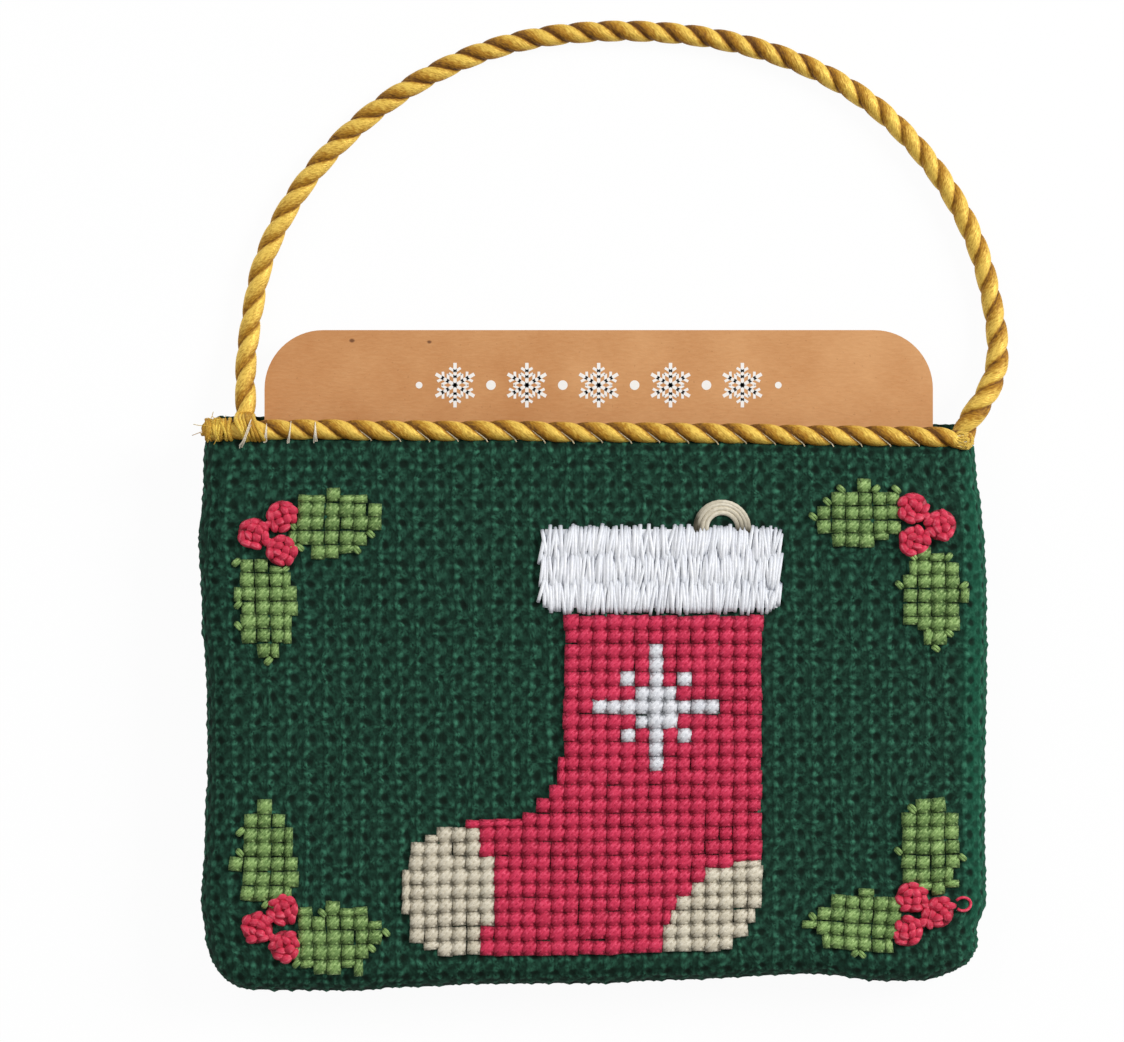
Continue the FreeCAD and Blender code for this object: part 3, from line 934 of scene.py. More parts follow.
def trim_rope(gold):
    """Gold cord sewn along the mouth, thinner and frayed at its right end."""
    bundle = Bundle()
    line = trim_line()
    thin = np.clip((line[:, 0] - 43) / 5.5, 0, 1) ** 2
    turn = TRIM_START + turns_along(line, CORD_LAY)
    even = np.interp(line[:, 0], (-40, 40), (0.08, 0.0))
    twist_cord(bundle, line, turn, 1 - 0.2 * thin, even)
    dice = random.Random(22)
    # Frayed fibres; their high tone gives most of them the gold finish's painted ridge highlight.
    for _ in range(60):
        bundle.add(skin(frayed_line(dice), dice.uniform(0.06, 0.12), 5), 0.9 + 0.6 * dice.random())
    made = dress(bundle.make("trim_rope"), gold)
    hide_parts("trim_cord")


def at_trim(x):
    """Middle of the trim at x."""
    line = trim_line()
    return points_at(x, line[:, 0], line)[0]


def whip_line(x, lean, reach, first, last):
    """Line of one stitch over the trim, from the cloth below it to behind it."""
    middle = at_trim(x)
    turn = np.radians(np.linspace(first, last, 11))
    over_y = middle[1] - reach * np.cos(turn)
    over_z = middle[2] + reach * np.sin(turn)
    over_x = middle[0] + lean * np.linspace(-0.5, 0.5, 11)
    return np.column_stack((over_x, over_y, over_z))


def tailed(line, tail):
    """Adds the end of a stitch that runs on over the cloth and dives into it."""
    x, y, _ = line[0]
    ground = crown(np.array(x), np.array(y)) - 0.02
    step = line[0, 0] - line[2, 0]
    tip = (x + step * tail, y - tail, ground - 0.4)
    foot = (x + step * tail * 0.8, y - tail * 0.75, ground + 0.1)
    return np.vstack((tip, foot, line))


def groove_line(groove, lap, line):
    """Thread sunk in a groove between the strands of the trim, which comes out at its foot."""
    side, other = frames(line)
    run = run_along(line)
    turn = np.radians(np.linspace(215, 352, 12)) + lap * 2 * np.pi
    where = (turn - TRIM_START - np.pi * groove) * CORD_LAY / (2 * np.pi)
    if where[0] < 16 or where[-1] > run[-1] - 4:
        return None
    beside = points_at(where, run, side) * np.cos(turn)[:, None]
    above = points_at(where, run, other) * np.sin(turn)[:, None]
    reach = 0.84 + 0.3 * np.linspace(0, 1, 12) ** 3
    return points_at(where, run, line) + (beside + above) * (0, 1, 1) * reach[:, None]


def bold_stitch(bundle, x, lean, reach, dice):
    """One stitch over the trim whose fibres fan out where they enter the cloth."""
    for _ in range(4):
        fan = dice.uniform(-0.17, 0.17)
        line = whip_line(x + fan * 0.4, lean, reach + dice.uniform(-0.05, 0.05), 12, dice.uniform(105, 145))
        line[:, 0] += fan * np.linspace(0.8, -0.3, len(line))
        line = tailed(line, dice.uniform(0.1, 0.5))
        thin = np.concatenate(([0.02, 0.07], np.linspace(0.1, 0.03, len(line) - 2)))
        bundle.add(skin(line, thin, 5), 0.7 + 0.3 * dice.random())


def frayed_line(dice):
    """Line of one fibre that lies along the frayed right end of the trim and closes in at its tip."""
    x = np.linspace(dice.uniform(46.2, 47.7), dice.uniform(48.0, 48.6), 8)
    turn = math.radians(dice.uniform(0, 170)) + dice.gauss(0, 0.5) * np.linspace(0, 1, 8)
    reach = np.interp(x, (46.2, 47.8, 48.6), (1.16, 1.04, 0.4)) + dice.uniform(-0.06, 0.06)
    reach[0] -= 0.2
    middle = np.array([at_trim(each) for each in x])
    return np.column_stack((x, middle[:, 1] - reach * np.cos(turn), middle[:, 2] + reach * np.sin(turn)))


# Bold stitches at the left end of the trim: place, lean and how far they stand off its middle
BOLD_STITCHES = ((-44.1, 1.3, 2.05), (-41.6, 0.25, 1.38), (-38.6, 0.4, 1.38), (-35.3, 0.0, 1.38))


def trim_stitches(pale):
    """Overcast stitches of pale thread that hold the trim, bold at its left end, frayed at its right."""
    dice = random.Random(21)
    bundle = Bundle()
    for x, lean, reach in BOLD_STITCHES:
        bold_stitch(bundle, x, lean, reach, dice)
    line = trim_line()
    for lap in range(16):
        for groove in range(2):
            thread = groove_line(groove, lap, line)
            if thread is not None:
                thread = tailed(thread[::-1], dice.uniform(0.25, 0.5))
                bundle.add(skin(thread, np.linspace(0.09, 0.05, len(thread)), 5), 0.3 * dice.random())
    for _ in range(9):
        bundle.add(skin(frayed_line(dice), dice.uniform(0.04, 0.07), 5), 0.3 * dice.random())
    made = dress(bundle.make("trim_overcast"), pale)
    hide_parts("trim_stitches")


def wound_yarn(bundle, dice):
    """Gold yarn wound untidily round the trim's left end."""
    for i in range(15):
        x = -49.9 + 0.26 * i
        close = math.sqrt(max(0.05, 1 - max(0.0, (-49.2 - x) / 0.8) ** 2))
        reach = (CORD_WIDTH / 2 + dice.uniform(-0.1, 0.16)) * close
        line = whip_line(max(x, -49.39), dice.gauss(0.1, 0.7), reach, 0, 180)
        line[:, 0] += min(0.0, x + 49.39) + 0.15 * np.sin(np.linspace(0, 7, 11) + i)
        bundle.add(skin(line, dice.uniform(0.18, 0.3), 7), 0.45 + 0.55 * dice.random())


def frayed_tips(bundle, dice):
    """Short fine fibres that stand off the winding."""
    for _ in range(70):
        root = at_trim(-49.3 + dice.uniform(-0.1, 3.4))
        angle = dice.uniform(0.2, 2.4)
        root = root + (0, 1.3 * math.cos(angle), 1.3 * math.sin(angle))
        way = np.array([dice.gauss(-0.25, 0.5), dice.gauss(0.25, 0.5), dice.uniform(-0.1, 0.4)])
        size = dice.uniform(0.4, 1.1)
        curl = np.array([dice.gauss(0, 0.3), dice.gauss(0, 0.3), dice.uniform(-0.3, 0.1)])
        share = np.linspace(0, 1, 6)[:, None]
        line = root + way * size * share + curl * share * share
        bundle.add(skin(line, 0.045, 5), 0.5 + 0.5 * dice.random())


def loose_yarns(bundle, dice):
    """Yarns from the foot of the handle's left arm, spread over the trim and down into the cloth."""
    top = at_trim(HANDLE_LEFT)[2]
    for i in range(8):
        side = -1 + 2 * i / 7 + dice.gauss(0, 0.08)
        foot = 0.9 + dice.uniform(-0.6, 0.5)
        start = dice.uniform(36.3, 36.7)
        route = [
            (HANDLE_LEFT + side, start, 3.9),
            (HANDLE_LEFT + side, start - 0.1, 5.6),
            (HANDLE_LEFT + side * 1.1, 36.1, 8.4),
            (HANDLE_LEFT + 0.1 + side * 1.2, 35.6, top + 1.5),
            (HANDLE_LEFT + 0.3 + side * 1.1 + foot * 0.5, 34.4, top + 1.7),
            (HANDLE_LEFT + 0.4 + side + foot, 33.4, top + 1.2),
            (HANDLE_LEFT + 0.5 + side + foot * 1.1, 33.0, top - 0.2),
        ]
        line = route_points("loose_yarn", route, 0.3)
        bundle.add(skin(line, dice.uniform(0.2, 0.31), 7), 0.45 + 0.55 * dice.random())


def end_wrap(gold):
    """Gold yarn at the left end of the trim: its winding, its frayed tips and the handle's loose yarns."""
    dice = random.Random(8)
    bundle = Bundle()
    wound_yarn(bundle, dice)
    frayed_tips(bundle, dice)
    loose_yarns(bundle, dice)
    made = dress(bundle.make("trim_end_winding"), gold)
    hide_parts("trim_end_wrap")


def tacks(gold):
    """Stitches that hold the handle's sewn ends inside the mouth."""
    turn = np.radians(np.linspace(-30, 210, 13))
    reach = CORD_WIDTH / 2 + 0.22
    for side, x in (("left", HANDLE_LEFT), ("right", HANDLE_RIGHT)):
        dice = random.Random(31)
        bundle = Bundle()
        for i in range(3):
            lean = np.linspace(-0.5, 0.5, 13) * dice.uniform(0.4, 0.9)
            over_x = x + reach * np.cos(turn)
            over_z = HANDLE_HEIGHT + reach * np.sin(turn)
            line = np.column_stack((over_x, 26.4 + 2 * i + lean, over_z))
            bundle.add(skin(line, 0.2, 6), 0.7 + 0.3 * dice.random())
        made = dress(bundle.make("handle_tacking_" + side), gold)
        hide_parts("handle_tack_" + side)


def seam_path(count):
    """Points along the seam, down the left side, along the bottom and up the right, with the way out."""
    edge = HALF_WIDTH - SEAM_INSET
    low = BOTTOM + SEAM_INSET
    corner = CORNER - SEAM_INSET
    points = [(-edge, MOUTH - 0.6, -1.0, 0.0)]
    for side in (-1, 1):
        start = math.pi if side < 0 else 1.5 * math.pi
        for i in range(13):
            angle = start + math.pi / 2 * i / 12
            way = (math.cos(angle), math.sin(angle))
            middle = (side * (edge - corner), low + corner)
            points.append((middle[0] + corner * way[0], middle[1] + corner * way[1], *way))
    points.append((edge, MOUTH - 0.6, 1.0, 0.0))
    points = np.array(points)
    run = run_along(points[:, :2])
    return points_at(np.linspace(0.8, run[-1] - 0.8, count), run, points)


def seam_stitches(green):
    """Slanted stitches over the seam of the front and the back cloth."""
    dice = random.Random(41)
    bundle = Bundle()
    for x, y, out_x, out_y in seam_path(75):
        along = np.array([-out_y, out_x, 0.0])
        out = np.array([out_x, out_y, 0.0])
        share = np.linspace(-1, 1, 8)[:, None]
        swell = 0.42 * (1 - share**2)
        centre = np.array([x, y, SEAM_HEIGHT]) + out * 0.1
        slant = dice.uniform(0.5, 0.75)
        line = centre + along * slant * share + out * (swell - 0.05) + np.array([0, 0, 0.75]) * share
        line[:, 0], line[:, 1] = settle(line[:, 0], line[:, 1])
        bundle.add(skin(line, 0.2, 6), dice.random())
    made = dress(bundle.make("seam_whipping"), green)
    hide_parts("seam_stitches")


# Embroidery


def on_front(x, y, lift):
    """Points lifted off the front's face at x and y, moved with its uneven outline."""
    z = crown(x, y) + lift
    return np.column_stack((*settle(x, y), z))


def floss_tube(line, radius, sides, start, pace):
    """Tube of floss round a line; start and pace of its map set how much painted shade its ends get."""
    points, faces, places = skin(line, radius, sides)
    return points, faces, [(u, start + pace * v) for u, v in places]


# Rings of a stitch's strand: share of the way from its middle to its end, half its width, half its
# thickness, its height and how far it lies beside its twin
STRAND_RINGS = (
    (-1.0, 0.14, 0.12, -0.34, 0.1),
    (-0.62, 0.34, 0.22, 0.17, 0.28),
    (0.0, 0.38, 0.25, 0.28, 0.3),
    (0.62, 0.34, 0.22, 0.17, 0.28),
    (1.0, 0.14, 0.12, -0.34, 0.1),
)
# Share of the way to the corners of its square that a stitch reaches, and the size of part stitches
LEG_REACH = 0.93
HALF_STITCH = 0.56
CORNER_STITCH = 0.6


def stitch_leg(turn, height):
    """One leg of a cross-stitch: two strands side by side whose ends dive into the cloth."""
    reach = math.hypot(STITCH_X, STITCH_Y) / 2 * LEG_REACH
    bpy.ops.object.select_all(action="DESELECT")
    lying = (0, math.pi / 2, 0)
    bpy.ops.mesh.primitive_cylinder_add(vertices=6, radius=MM, depth=2 * reach * MM, rotation=lying)
    bpy.ops.object.transform_apply(location=False, rotation=True, scale=False)
    made = bpy.context.object
    bpy.ops.object.mode_set(mode="EDIT")
    for ring in STRAND_RINGS[1:-1]:
        bpy.ops.mesh.select_all(action="SELECT")
        bpy.ops.mesh.bisect(plane_co=(ring[0] * reach * MM, 0, 0), plane_no=(1, 0, 0), threshold=1e-6)
    for share, width, thick, rise, beside in STRAND_RINGS:
        bpy.ops.object.mode_set(mode="OBJECT")
        pick(made, abs(points_of(made)[:, 0] / MM - share * reach) < 0.02)
        bpy.ops.transform.resize(value=(1, width, thick), center_override=(share * reach * MM, 0, 0))
        bpy.ops.transform.translate(value=(0, beside * MM, (rise + height) * MM))
    bpy.ops.mesh.select_all(action="SELECT")
    bpy.ops.mesh.duplicate()
    bpy.ops.transform.resize(value=(1, -1, 1), center_override=(0, 0, 0))
    bpy.ops.mesh.select_all(action="SELECT")
    bpy.ops.mesh.normals_make_consistent(inside=False)
    bpy.ops.object.mode_set(mode="OBJECT")
    points = points_of(made) / MM
    # Along runs from one end of the leg to the other, so both ends get the floss's painted shade.
    across, along = points[:, 1] * 0.4 + 0.5, points[:, 0] / reach / 2 + 0.5
    made.rotation_euler.z = turn
    bpy.ops.object.transform_apply(location=False, rotation=True, scale=False)
    return taken_apart(made, across, along)


def stitch_pad():
    """Low bed of thread under a stitch, in the painted shade of the ends that dive into the cloth."""
    bpy.ops.object.select_all(action="DESELECT")
    bpy.ops.mesh.primitive_cube_add(size=MM)
    made = bpy.context.object
    pick(made, np.ones(8, bool))
    bpy.ops.transform.resize(value=(STITCH_X * 1.04, STITCH_Y * 1.04, 0.3), center_override=(0, 0, 0))
    bpy.ops.transform.translate(value=(0, 0, -0.17 * MM))
    bpy.ops.object.mode_set(mode="OBJECT")
    points = points_of(made) / MM
    # The bed's map sits near the end of along, deep in the floss's painted shade.
    return taken_apart(made, points[:, 0], 0.93 + 0 * points[:, 1])


TOP_LEG = stitch_leg(math.radians(45), 0.08)
LOW_LEG = stitch_leg(math.radians(-45), -0.02)
PAD = stitch_pad()
WHOLE = (PAD, LOW_LEG, TOP_LEG)
QUARTERS = ((-1, -1), (-1, 1), (1, -1), (1, 1))


def put_stitch(bundle, x, y, dice, legs, wide, tall):
    """One cross-stitch, or the legs of it that are asked for, on the front at x and y."""
    tone = 0.15 + 0.7 * dice.random()
    lean = dice.gauss(0, 0.05)
    grow = 1 + dice.gauss(0, 0.05)
    plump = 1 + dice.uniform(-0.25, 0.2)
    lift = dice.uniform(-0.05, 0.06)
    shift_x, shift_y = dice.gauss(0, 0.045), dice.gauss(0, 0.045)
    shift_x += 0.045 * float(ripple(np.array(x), np.array(y * 0.25), 3.6, 17))
    shift_y += 0.05 * float(ripple(np.array(x * 0.25), np.array(y), 3.6, 18))
    for shape in legs:
        points = shape[0] * (wide * grow, tall * grow, plump)
        turned_x = points[:, 0] - lean * points[:, 1] + x + shift_x
        turned_y = points[:, 1] + lean * points[:, 0] + y + shift_y
        laid = on_front(turned_x, turned_y, points[:, 2] + 0.2 + lift)
        bundle.add((laid, shape[1], shape[2]), tone)


def fill_shape(bundle, inside, box, dice, ragged=0.0, size=1.0):
    """Cross-stitches over a shape on the stitch grid, with part stitches along its edge and corners."""
    x_low, y_low, x_high, y_high = box
    for i in range(math.floor(x_low / STITCH_X) - 1, math.ceil(x_high / STITCH_X) + 1):
        for j in range(math.floor(y_low / STITCH_Y) - 1, math.ceil(y_high / STITCH_Y) + 1):
            x, y = (i + 0.5) * STITCH_X, (j + 0.5) * STITCH_Y
            inner = [(p, q) for p, q in QUARTERS if inside(x + p * STITCH_X / 4, y + q * STITCH_Y / 4)]
            if len(inner) >= 3:
                put_stitch(bundle, x, y, dice, WHOLE, size, size)
            elif len(inner) == 2:
                side_x = sum(p for p, q in inner) / 2
                side_y = sum(q for p, q in inner) / 2
                wide = HALF_STITCH if side_x else 1.0
                tall = HALF_STITCH if side_y else 1.0
                spot = (x + side_x * STITCH_X / 4, y + side_y * STITCH_Y / 4)
                put_stitch(bundle, *spot, dice, WHOLE, wide, tall)
            elif len(inner) == 1 and dice.random() < ragged:
                p, q = inner[0]
                leg = TOP_LEG if p * q > 0 else LOW_LEG
                spot = (x + p * STITCH_X / 4, y + q * STITCH_Y / 4)
                put_stitch(bundle, *spot, dice, (leg,), CORNER_STITCH, CORNER_STITCH)


def in_polygon(corners):
    """Test for points inside a polygon."""

    def inside(x, y):
        hit = False
        for (ax, ay), (bx, by) in zip(corners, corners[1:] + corners[:1]):
            if (ay > y) != (by > y) and x < ax + (y - ay) * (bx - ax) / (by - ay):
                hit = not hit
        return hit

    return inside


# Half a holly leaf's edge from stalk to tip: share along its length, share across its width
LEAF_EDGE = [
    (-0.5, 0.06), (-0.44, 0.42), (-0.26, 0.36), (-0.1, 0.54),
    (0.06, 0.38), (0.24, 0.46), (0.34, 0.24), (0.52, 0.05),
]
# The two leaves of a sprig: place across and up from its berries, length and width
FLAT_LEAF = (9.2, 1.3, 11.8, 8.6)
UPRIGHT_LEAF = (0.6, 9.8, 12.6, 8.2)
UPRIGHT_LEAF_DROP = 0.3
# Share of a leaf's ragged corners that get a part stitch, and the size of its whole stitches
LEAF_RAGGED = 0.8
LEAF_STITCH = 0.94


def leaf_corners(x, y, length, width, tip):
    """Outline of a leaf whose tip points along X or Y."""
    upper = [(along * length, across * width) for along, across in LEAF_EDGE]
    lower = [(along - 0.07 * length, -across) for along, across in reversed(upper)]
    return [(x + a * tip[0] - c * tip[1], y + a * tip[1] + c * tip[0]) for a, c in upper + lower]


# Sprig in each corner: its name, its side, whether it is up or down, its seed and its berries' middle
SPRIGS = (
    ("top_left", -1, 1, 71, -41.2, 21.25),
    ("top_right", 1, 1, 72, 42.7, 22.75),
    ("bottom_left", -1, -1, 73, -41.2, -28.55),
    ("bottom_right", 1, -1, 74, 42.3, -27.45),
)


def holly_leaves(green):
    """Two leaves in each corner, filled with cross-stitch."""
    for name, side, up, seed, x, y in SPRIGS:
        dice = random.Random(seed)
        bundle = Bundle()
        across, rise, length, width = FLAT_LEAF
        flat = leaf_corners(x - side * across, y + up * rise, length, width, (-side, 0))
        across, fall, length, width = UPRIGHT_LEAF
        middle = y - up * fall - UPRIGHT_LEAF_DROP
        upright = leaf_corners(x + side * across, middle, length, width, (0, -up))
        for corners in (flat, upright):
            xs, ys = [c[0] for c in corners], [c[1] for c in corners]
            box = (min(xs), min(ys), max(xs), max(ys))
            fill_shape(bundle, in_polygon(corners), box, dice, LEAF_RAGGED, LEAF_STITCH)
        made = dress(bundle.make("holly_leaf_stitches_" + name), green)
        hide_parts("holly_leaves_" + name)


# Berries: radius of the bed under the stitches, and their places up or down and across from the middle
BERRY_RADIUS = 2.0
BERRY_SPREAD = 2.2
BERRY_ACROSS = 1.74
# Rounds of a berry's stitches: how many, how far out, half a stitch's length and its height
BERRY_ROUNDS = ((7, 1.5, 0.72, 0.22), (4, 0.7, 0.62, 0.36))
# Stray loop at the bottom right: its middle and half its size
STRAY_MIDDLE = (47.2, -26.0)
STRAY_SIZE = (1.0, 0.85)


def berry_bed():
    """Low padded dome under the stitches of a berry: a ball cut off flat and pressed down."""
    bpy.ops.object.select_all(action="DESELECT")
    bpy.ops.mesh.primitive_uv_sphere_add(segments=18, ring_count=10, radius=BERRY_RADIUS * MM)
    made = bpy.context.object
    bpy.ops.object.mode_set(mode="EDIT")
    bpy.ops.mesh.bisect(
        plane_co=(0, 0, -0.9 * MM), plane_no=(0, 0, 1), threshold=1e-6, use_fill=True, clear_inner=True
    )
    bpy.ops.mesh.select_all(action="SELECT")
    bpy.ops.transform.resize(value=(1, 1, 0.3), center_override=(0, 0, 0))
    bpy.ops.object.mode_set(mode="OBJECT")
    points = points_of(made) / MM
    # The bed's map sits near the end of along, partly in the floss's painted shade.
    return taken_apart(made, points[:, 0], 0.9 + 0 * points[:, 1])


BERRY_BED = berry_bed()


def put_bed(bundle, x, y):
    """A copy of the berry's bed at x and y of the front."""
    place = on_front(np.array(x), np.array(y), 0.0)
    bundle.add((BERRY_BED[0] + place, BERRY_BED[1], BERRY_BED[2]), 0.1)


def plump_stitch(bundle, x, y, half, slant, rise, dice):
    """Short plump stitch of a berry, with its middle at x and y of the front."""
    share = np.linspace(-1, 1, 7)
    px = x + half * share * math.cos(slant)
    py = y + half * share * math.sin(slant)
    full = 1 - share**2
    line = on_front(px, py, rise + 0.28 * full)
    radius = 0.3 + dice.uniform(0.22, 0.36) * full
    bundle.add(floss_tube(line, radius, 7, 0.1, 0.32), 0.1 + 0.8 * dice.random())


def berry_stitches(bundle, x, y, dice):
    """Plump stitches that fill a berry at many slants, round its rim and inside, with small gaps."""
    for count, reach, half, rise in BERRY_ROUNDS:
        start = dice.uniform(0, 2 * math.pi)
        for i in range(count):
            angle = start + 2 * math.pi * i / count + dice.gauss(0, 0.1)
            slant = angle + math.pi / 2 + dice.gauss(0, 0.45)
            away = reach + dice.uniform(-0.1, 0.08)
            px, py = x + away * math.cos(angle), y + away * math.sin(angle)
            plump_stitch(bundle, px, py, half, slant, rise + dice.uniform(-0.06, 0.1), dice)


def stray_loop(bundle):
    """Stray loop of floss beside the berries at the bottom right, where the cloth starts to roll down."""
    turn = np.linspace(-2.4, 2.6, 16)
    px = STRAY_MIDDLE[0] + STRAY_SIZE[0] * np.cos(turn)
    py = STRAY_MIDDLE[1] + STRAY_SIZE[1] * np.sin(turn)
    z = crown(px, py) - np.maximum(px - 46.5, 0) ** 2 * 0.25 + 0.45
    bundle.add(floss_tube(np.column_stack((px, py, z)), 0.2, 6, 0.2, 1 / 9), 0.7)


def holly_berries(red):
    """Three round berries in each corner, filled with plump stitches and joined by two more."""
    for name, side, up, seed, x, y in SPRIGS:
        dice = random.Random(seed + 20)
        bundle = Bundle()
        near, far = x - side * BERRY_ACROSS, x + side * BERRY_ACROSS
        pair = [(near, y + BERRY_SPREAD * up), (near, y - BERRY_SPREAD * up)]
        for bx, by in [*pair, (far, y)]:
            put_bed(bundle, bx, by)
            berry_stitches(bundle, bx, by, dice)
        for bx, by in pair:
            slant = math.atan2(y - by, far - bx)
            plump_stitch(bundle, (bx + far) / 2, (by + y) / 2, 0.8, slant, 0.12, dice)
        if name == "bottom_right":
            stray_loop(bundle)
        made = dress(bundle.make("holly_berry_stitches_" + name), red)
        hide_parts("holly_berries_" + name)


# Stocking in the middle of the front
LEG_LEFT, LEG_RIGHT, LEG_TOP = -4.0, 21.5, 11.25
FOOT_LEFT, FOOT_LOW, FOOT_TOP = -24.5, -32.75, -15.75
TOE_ROUND, HEEL_ROUND, INSTEP_ROUND = 8.5, 8.0, 9.0
TOE_PATCH = (-24.5, -24.25, 12.0)
HEEL_PATCH = (21.5, -32.75, 12.5)
STAR_CELL = (4, -1)
STAR_CHART = [
    "....#....",
    "....#....",
    "..#.#.#..",
    "...###...",
    "#########",
    "...###...",
    "..#.#.#..",
    "....#....",
    "....#....",
]
CUFF_BOX = (-6.75, 11.25, 24.25, 22.25)
LOOP_MIDDLE = (16.5, 22.1)
LOOP_ROUNDS = (2.0, 2.55, 3.1, 3.4)


def in_stocking(x, y):
    """Leg and foot of the stocking, toe to the left."""
    if not (FOOT_LEFT <= x <= LEG_RIGHT and FOOT_LOW <= y <= LEG_TOP):
        return False
    if x > LEG_RIGHT - HEEL_ROUND and y < FOOT_LOW + HEEL_ROUND:
        return math.hypot(x - LEG_RIGHT + HEEL_ROUND, y - FOOT_LOW - HEEL_ROUND) < HEEL_ROUND
    if y <= FOOT_TOP:
        if x >= FOOT_LEFT + TOE_ROUND:
            return True
        return math.hypot(x - FOOT_LEFT - TOE_ROUND, y - FOOT_LOW - TOE_ROUND) < TOE_ROUND
    if x >= LEG_LEFT:
        return True
    if x > LEG_LEFT - INSTEP_ROUND and y < FOOT_TOP + INSTEP_ROUND:
        return math.hypot(x - LEG_LEFT + INSTEP_ROUND, y - FOOT_TOP - INSTEP_ROUND) > INSTEP_ROUND
    return False


def in_disc(x, y, disc):
    """Test for a point inside a disc of (x, y, radius)."""
    return math.hypot(x - disc[0], y - disc[1]) < disc[2]


def in_star(x, y):
    """Squares of the star's chart, middle on one square of the stitch grid."""
    squares = len(STAR_CHART)
    column = math.floor(x / STITCH_X) - STAR_CELL[0] + squares // 2
    row = squares // 2 + STAR_CELL[1] - math.floor(y / STITCH_Y)
    return 0 <= column < squares and 0 <= row < squares and STAR_CHART[row][column] == "#"


def stocking(red, white, cream, satin):
    """Red stocking with cream heel and toe, a white star and a white satin cuff on a loop."""
    box = (FOOT_LEFT, FOOT_LOW, LEG_RIGHT, LEG_TOP)

    def in_toe(x, y):
        return in_stocking(x, y) and in_disc(x, y, TOE_PATCH)

    def in_heel(x, y):
        return in_stocking(x, y) and in_disc(x, y, HEEL_PATCH)

    def in_red(x, y):
        patch = in_disc(x, y, TOE_PATCH) or in_disc(x, y, HEEL_PATCH) or in_star(x, y)
        return in_stocking(x, y) and not patch

    areas = [
        ("leg", in_red, red, "red_floss", 81),
        ("toe", in_toe, cream, "cream_floss", 82),
        ("heel", in_heel, cream, "cream_floss", 83),
        ("star", in_star, white, "white_floss", 84),
    ]
    for name, inside, material, slot, seed in areas:
        bundle = Bundle()
        fill_shape(bundle, inside, box, random.Random(seed))
        made = dress(bundle.make("stocking_stitches_" + name), material)
        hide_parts("stocking_" + name)
    satin_cuff(satin)
    hang_loop(cream)


def satin_line(x, low, high, lean, swell):
    """Line of one satin strand, up over the cuff."""
    share = np.linspace(0, 1, 7)
    y = low + (high - low) * share
    px = x + lean * (share - 0.5)
    rise = np.sin(np.pi * share) ** 0.6
    return on_front(px, y, 0.1 + (0.3 + swell) * rise)


def cuff_bed():
    """Flat pad of floss under the satin stitches of the cuff."""
    low_x, low_y, high_x, high_y = CUFF_BOX
    bpy.ops.object.select_all(action="DESELECT")
    bpy.ops.mesh.primitive_cube_add(size=MM)
    made = bpy.context.object
    pick(made, np.ones(8, bool))
    size = (high_x - low_x - 1.4, high_y - low_y - 1.0, 0.55)
    bpy.ops.transform.resize(value=size, center_override=(0, 0, 0))
    bpy.ops.transform.translate(value=((low_x + high_x) / 2 * MM, (low_y + high_y) / 2 * MM, 0))
    bpy.ops.mesh.subdivide(number_cuts=3)
    bpy.ops.object.mode_set(mode="OBJECT")
    points = points_of(made) / MM
    points[:, 2] += crown(points[:, 0], points[:, 1])
    made.data.vertices.foreach_set("co", (points * MM).ravel())
    # The bed's map puts it a little into the floss's painted shade.
    return taken_apart(made, points[:, 0], 0.25 + 0 * points[:, 1])


def satin_cuff(white):
    """Cuff of long and short satin stitches, like a band of fur."""
    dice = random.Random(91)
    bundle = Bundle()
    bundle.add(cuff_bed(), 0.2)
    low_x, low_y, high_x, high_y = CUFF_BOX
    third = (high_y - low_y) / 3
    for row in range(3):
        x = low_x + 0.3
        while x < high_x - 0.2:
            side = min(x - low_x, high_x - x)
            inset = 1.8 * max(0.0, 1 - side / 1.8) ** 2
            low = low_y + row * third - 0.75 + dice.gauss(0, 0.45)
            high = low + third + 1.5 + dice.gauss(0, 0.45)
            low = max(low, low_y + inset + dice.uniform(-0.35, 0.2))
            high = min(high, high_y - inset + dice.uniform(-0.2, 0.35))
            line = satin_line(x, low, high, dice.gauss(0.25, 0.4), dice.uniform(0, 0.3))
            shape = floss_tube(line, dice.uniform(0.2, 0.29), 6, 0.08, 0.84 / (high - low))
            bundle.add(shape, dice.random())
            x += dice.uniform(0.3, 0.46)
    made = dress(bundle.make("stocking_satin_cuff"), white)
    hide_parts("stocking_cuff")


def hang_loop(cream):
    """Loop at the top of the cuff: strands side by side."""
    dice = random.Random(95)
    bundle = Bundle()
    turn = np.linspace(-0.15, math.pi + 0.15, 16)
    for reach in LOOP_ROUNDS:
        px = LOOP_MIDDLE[0] + reach * np.cos(turn)
        py = LOOP_MIDDLE[1] + reach * np.sin(turn)
        line = on_front(px, py, 0.2 + 0.1 * np.sin(turn))
        bundle.add(floss_tube(line, 0.32, 6, 0.0, 0.1), dice.random())
    made = dress(bundle.make("stocking_hang_loop"), cream)
    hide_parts("stocking_loop")


# Card


PRINT_Y = 40.2
PRINT_MIDDLE = 0.8
FLAKE_PITCH = 9.2
CARD_TOP = 3.4
INK = 0.03


def ink_bar(start, length, width, slant):
    """Adds a printed bar to the piece in edit mode, turned by slant about its start."""
    middle = (start + length / 2) * MM
    bpy.ops.mesh.primitive_cube_add(size=MM, location=(middle, 0, 0))
    bpy.ops.transform.resize(value=(length, width, INK), center_override=(middle, 0, 0))
    bpy.ops.transform.rotate(value=slant, orient_axis="Z", center_override=(start * MM, 0, 0))


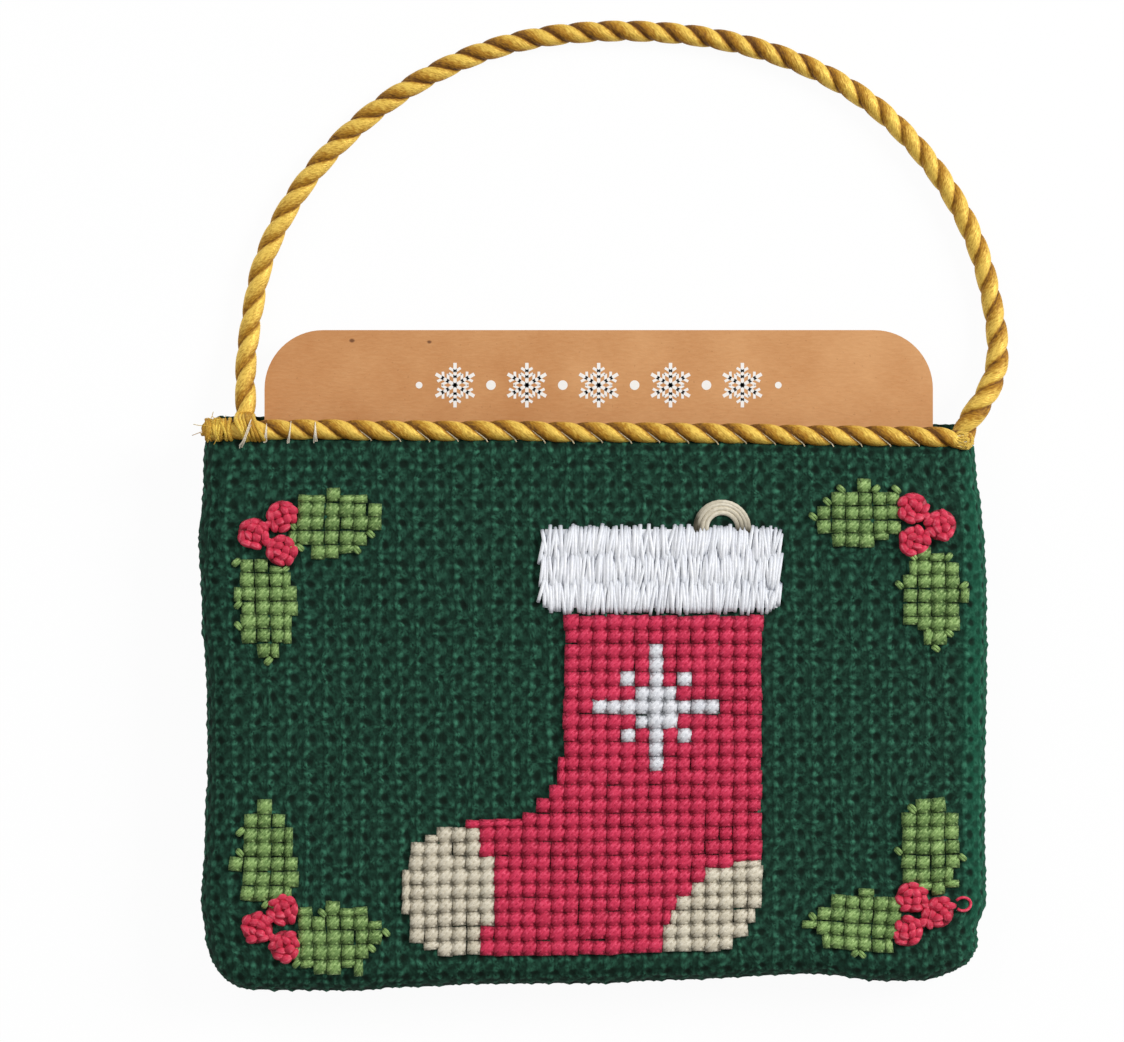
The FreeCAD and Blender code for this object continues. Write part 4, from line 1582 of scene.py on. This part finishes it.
def snow_flakes():
    """Row of printed snowflakes: one arm with two pairs of twigs, six arms round, five flakes in a row."""
    ink_bar(0.0, 2.85, 0.44, 0.0)
    for start, length in ((1.0, 0.95), (1.75, 0.85)):
        for slant in (-58, 58):
            ink_bar(start, length, 0.34, math.radians(slant))
    bpy.ops.mesh.select_all(action="SELECT")
    bpy.ops.transform.rotate(value=math.pi / 6, orient_axis="Z", center_override=(0, 0, 0))
    for _ in range(5):
        bpy.ops.mesh.duplicate()
        bpy.ops.transform.rotate(value=math.pi / 3, orient_axis="Z", center_override=(0, 0, 0))
    bpy.ops.mesh.select_all(action="SELECT")
    bpy.ops.transform.translate(value=((PRINT_MIDDLE - 2 * FLAKE_PITCH) * MM, PRINT_Y * MM, CARD_TOP * MM))
    for _ in range(4):
        bpy.ops.mesh.duplicate()
        bpy.ops.transform.translate(value=(FLAKE_PITCH * MM, 0, 0))


def ink_dots():
    """Printed dots between the flakes, smaller at both ends of the row."""
    for i in range(6):
        radius = 0.62 if 0 < i < 5 else 0.43
        place = ((PRINT_MIDDLE + FLAKE_PITCH * (i - 2.5)) * MM, PRINT_Y * MM, CARD_TOP * MM)
        bpy.ops.mesh.primitive_cylinder_add(vertices=20, radius=radius * MM, depth=INK * MM, location=place)


def gift_card(kraft, white):
    """Paper card from the solid, with a row of printed snowflakes."""
    card = frame["nodes"]["gift_card"]
    card.data.materials.clear()
    card.data.materials.append(kraft)
    bpy.ops.object.select_all(action="DESELECT")
    bpy.ops.mesh.primitive_plane_add(size=MM)
    made = bpy.context.object
    made.name = made.data.name = "card_print"
    bpy.ops.object.mode_set(mode="EDIT")
    bpy.ops.mesh.delete(type="VERT")
    snow_flakes()
    ink_dots()
    bpy.ops.object.mode_set(mode="OBJECT")
    dress(made, white, "card", False)


def table_top(white):
    """White table of TABLE_SIZE metres, just under the pouch."""
    made = flat_grid("white_table", 4, 4)
    points = points_of(made) * (TABLE_SIZE, TABLE_SIZE, 0) - (0, 0, TABLE_GAP)
    made.data.vertices.foreach_set("co", points.ravel())
    made.data.materials.append(white)


camera()
studio()
table_top(floor_finish())
gold_cord = gold_finish("gold_cord", tint(100, 60, 10), tint(174, 122, 26), tint(243, 204, 92), 0.02)
gold_thread = gold_finish("gold_thread", tint(110, 66, 16), tint(196, 142, 40), tint(255, 220, 96), 0.3)
handle_rope(gold_cord)
trim_rope(gold_cord)
green_cloth = woven_green(
    "green_evenweave", tint(13, 26, 19), tint(18, 42, 32), tint(30, 64, 50), tint(62, 124, 98)
)
front_cloth(green_cloth)
back_cloth(green_cloth)
linings(lining_finish())
trim_stitches(thread_finish("pale_thread", tint(220, 192, 122), tint(255, 251, 240)))
end_wrap(gold_thread)
tacks(gold_thread)
seam_stitches(thread_finish("seam_thread", tint(18, 40, 31), tint(44, 84, 66)))
leaf_floss = floss(
    "leaf_floss", tint(30, 54, 24), tint(60, 90, 40), tint(158, 192, 114), tint(214, 234, 168)
)
red_floss = floss("red_floss", tint(104, 12, 32), tint(166, 28, 58), tint(228, 58, 96), tint(246, 112, 140))
white_floss = floss(
    "white_floss", tint(66, 70, 76), tint(196, 198, 204), tint(238, 239, 243), tint(248, 248, 251)
)
cream_floss = floss(
    "cream_floss", tint(78, 72, 58), tint(184, 174, 152), tint(228, 220, 200), tint(242, 236, 222)
)
satin_floss = floss(
    "satin_floss", tint(140, 146, 158), tint(222, 225, 232), tint(247, 248, 251), tint(252, 252, 254)
)
berry_floss = floss(
    "berry_floss", tint(96, 8, 24), tint(176, 26, 54), tint(222, 50, 84), tint(248, 140, 154), 0.35
)
holly_leaves(leaf_floss)
holly_berries(berry_floss)
stocking(red_floss, white_floss, cream_floss, satin_floss)
gift_card(kraft_finish(), print_finish())
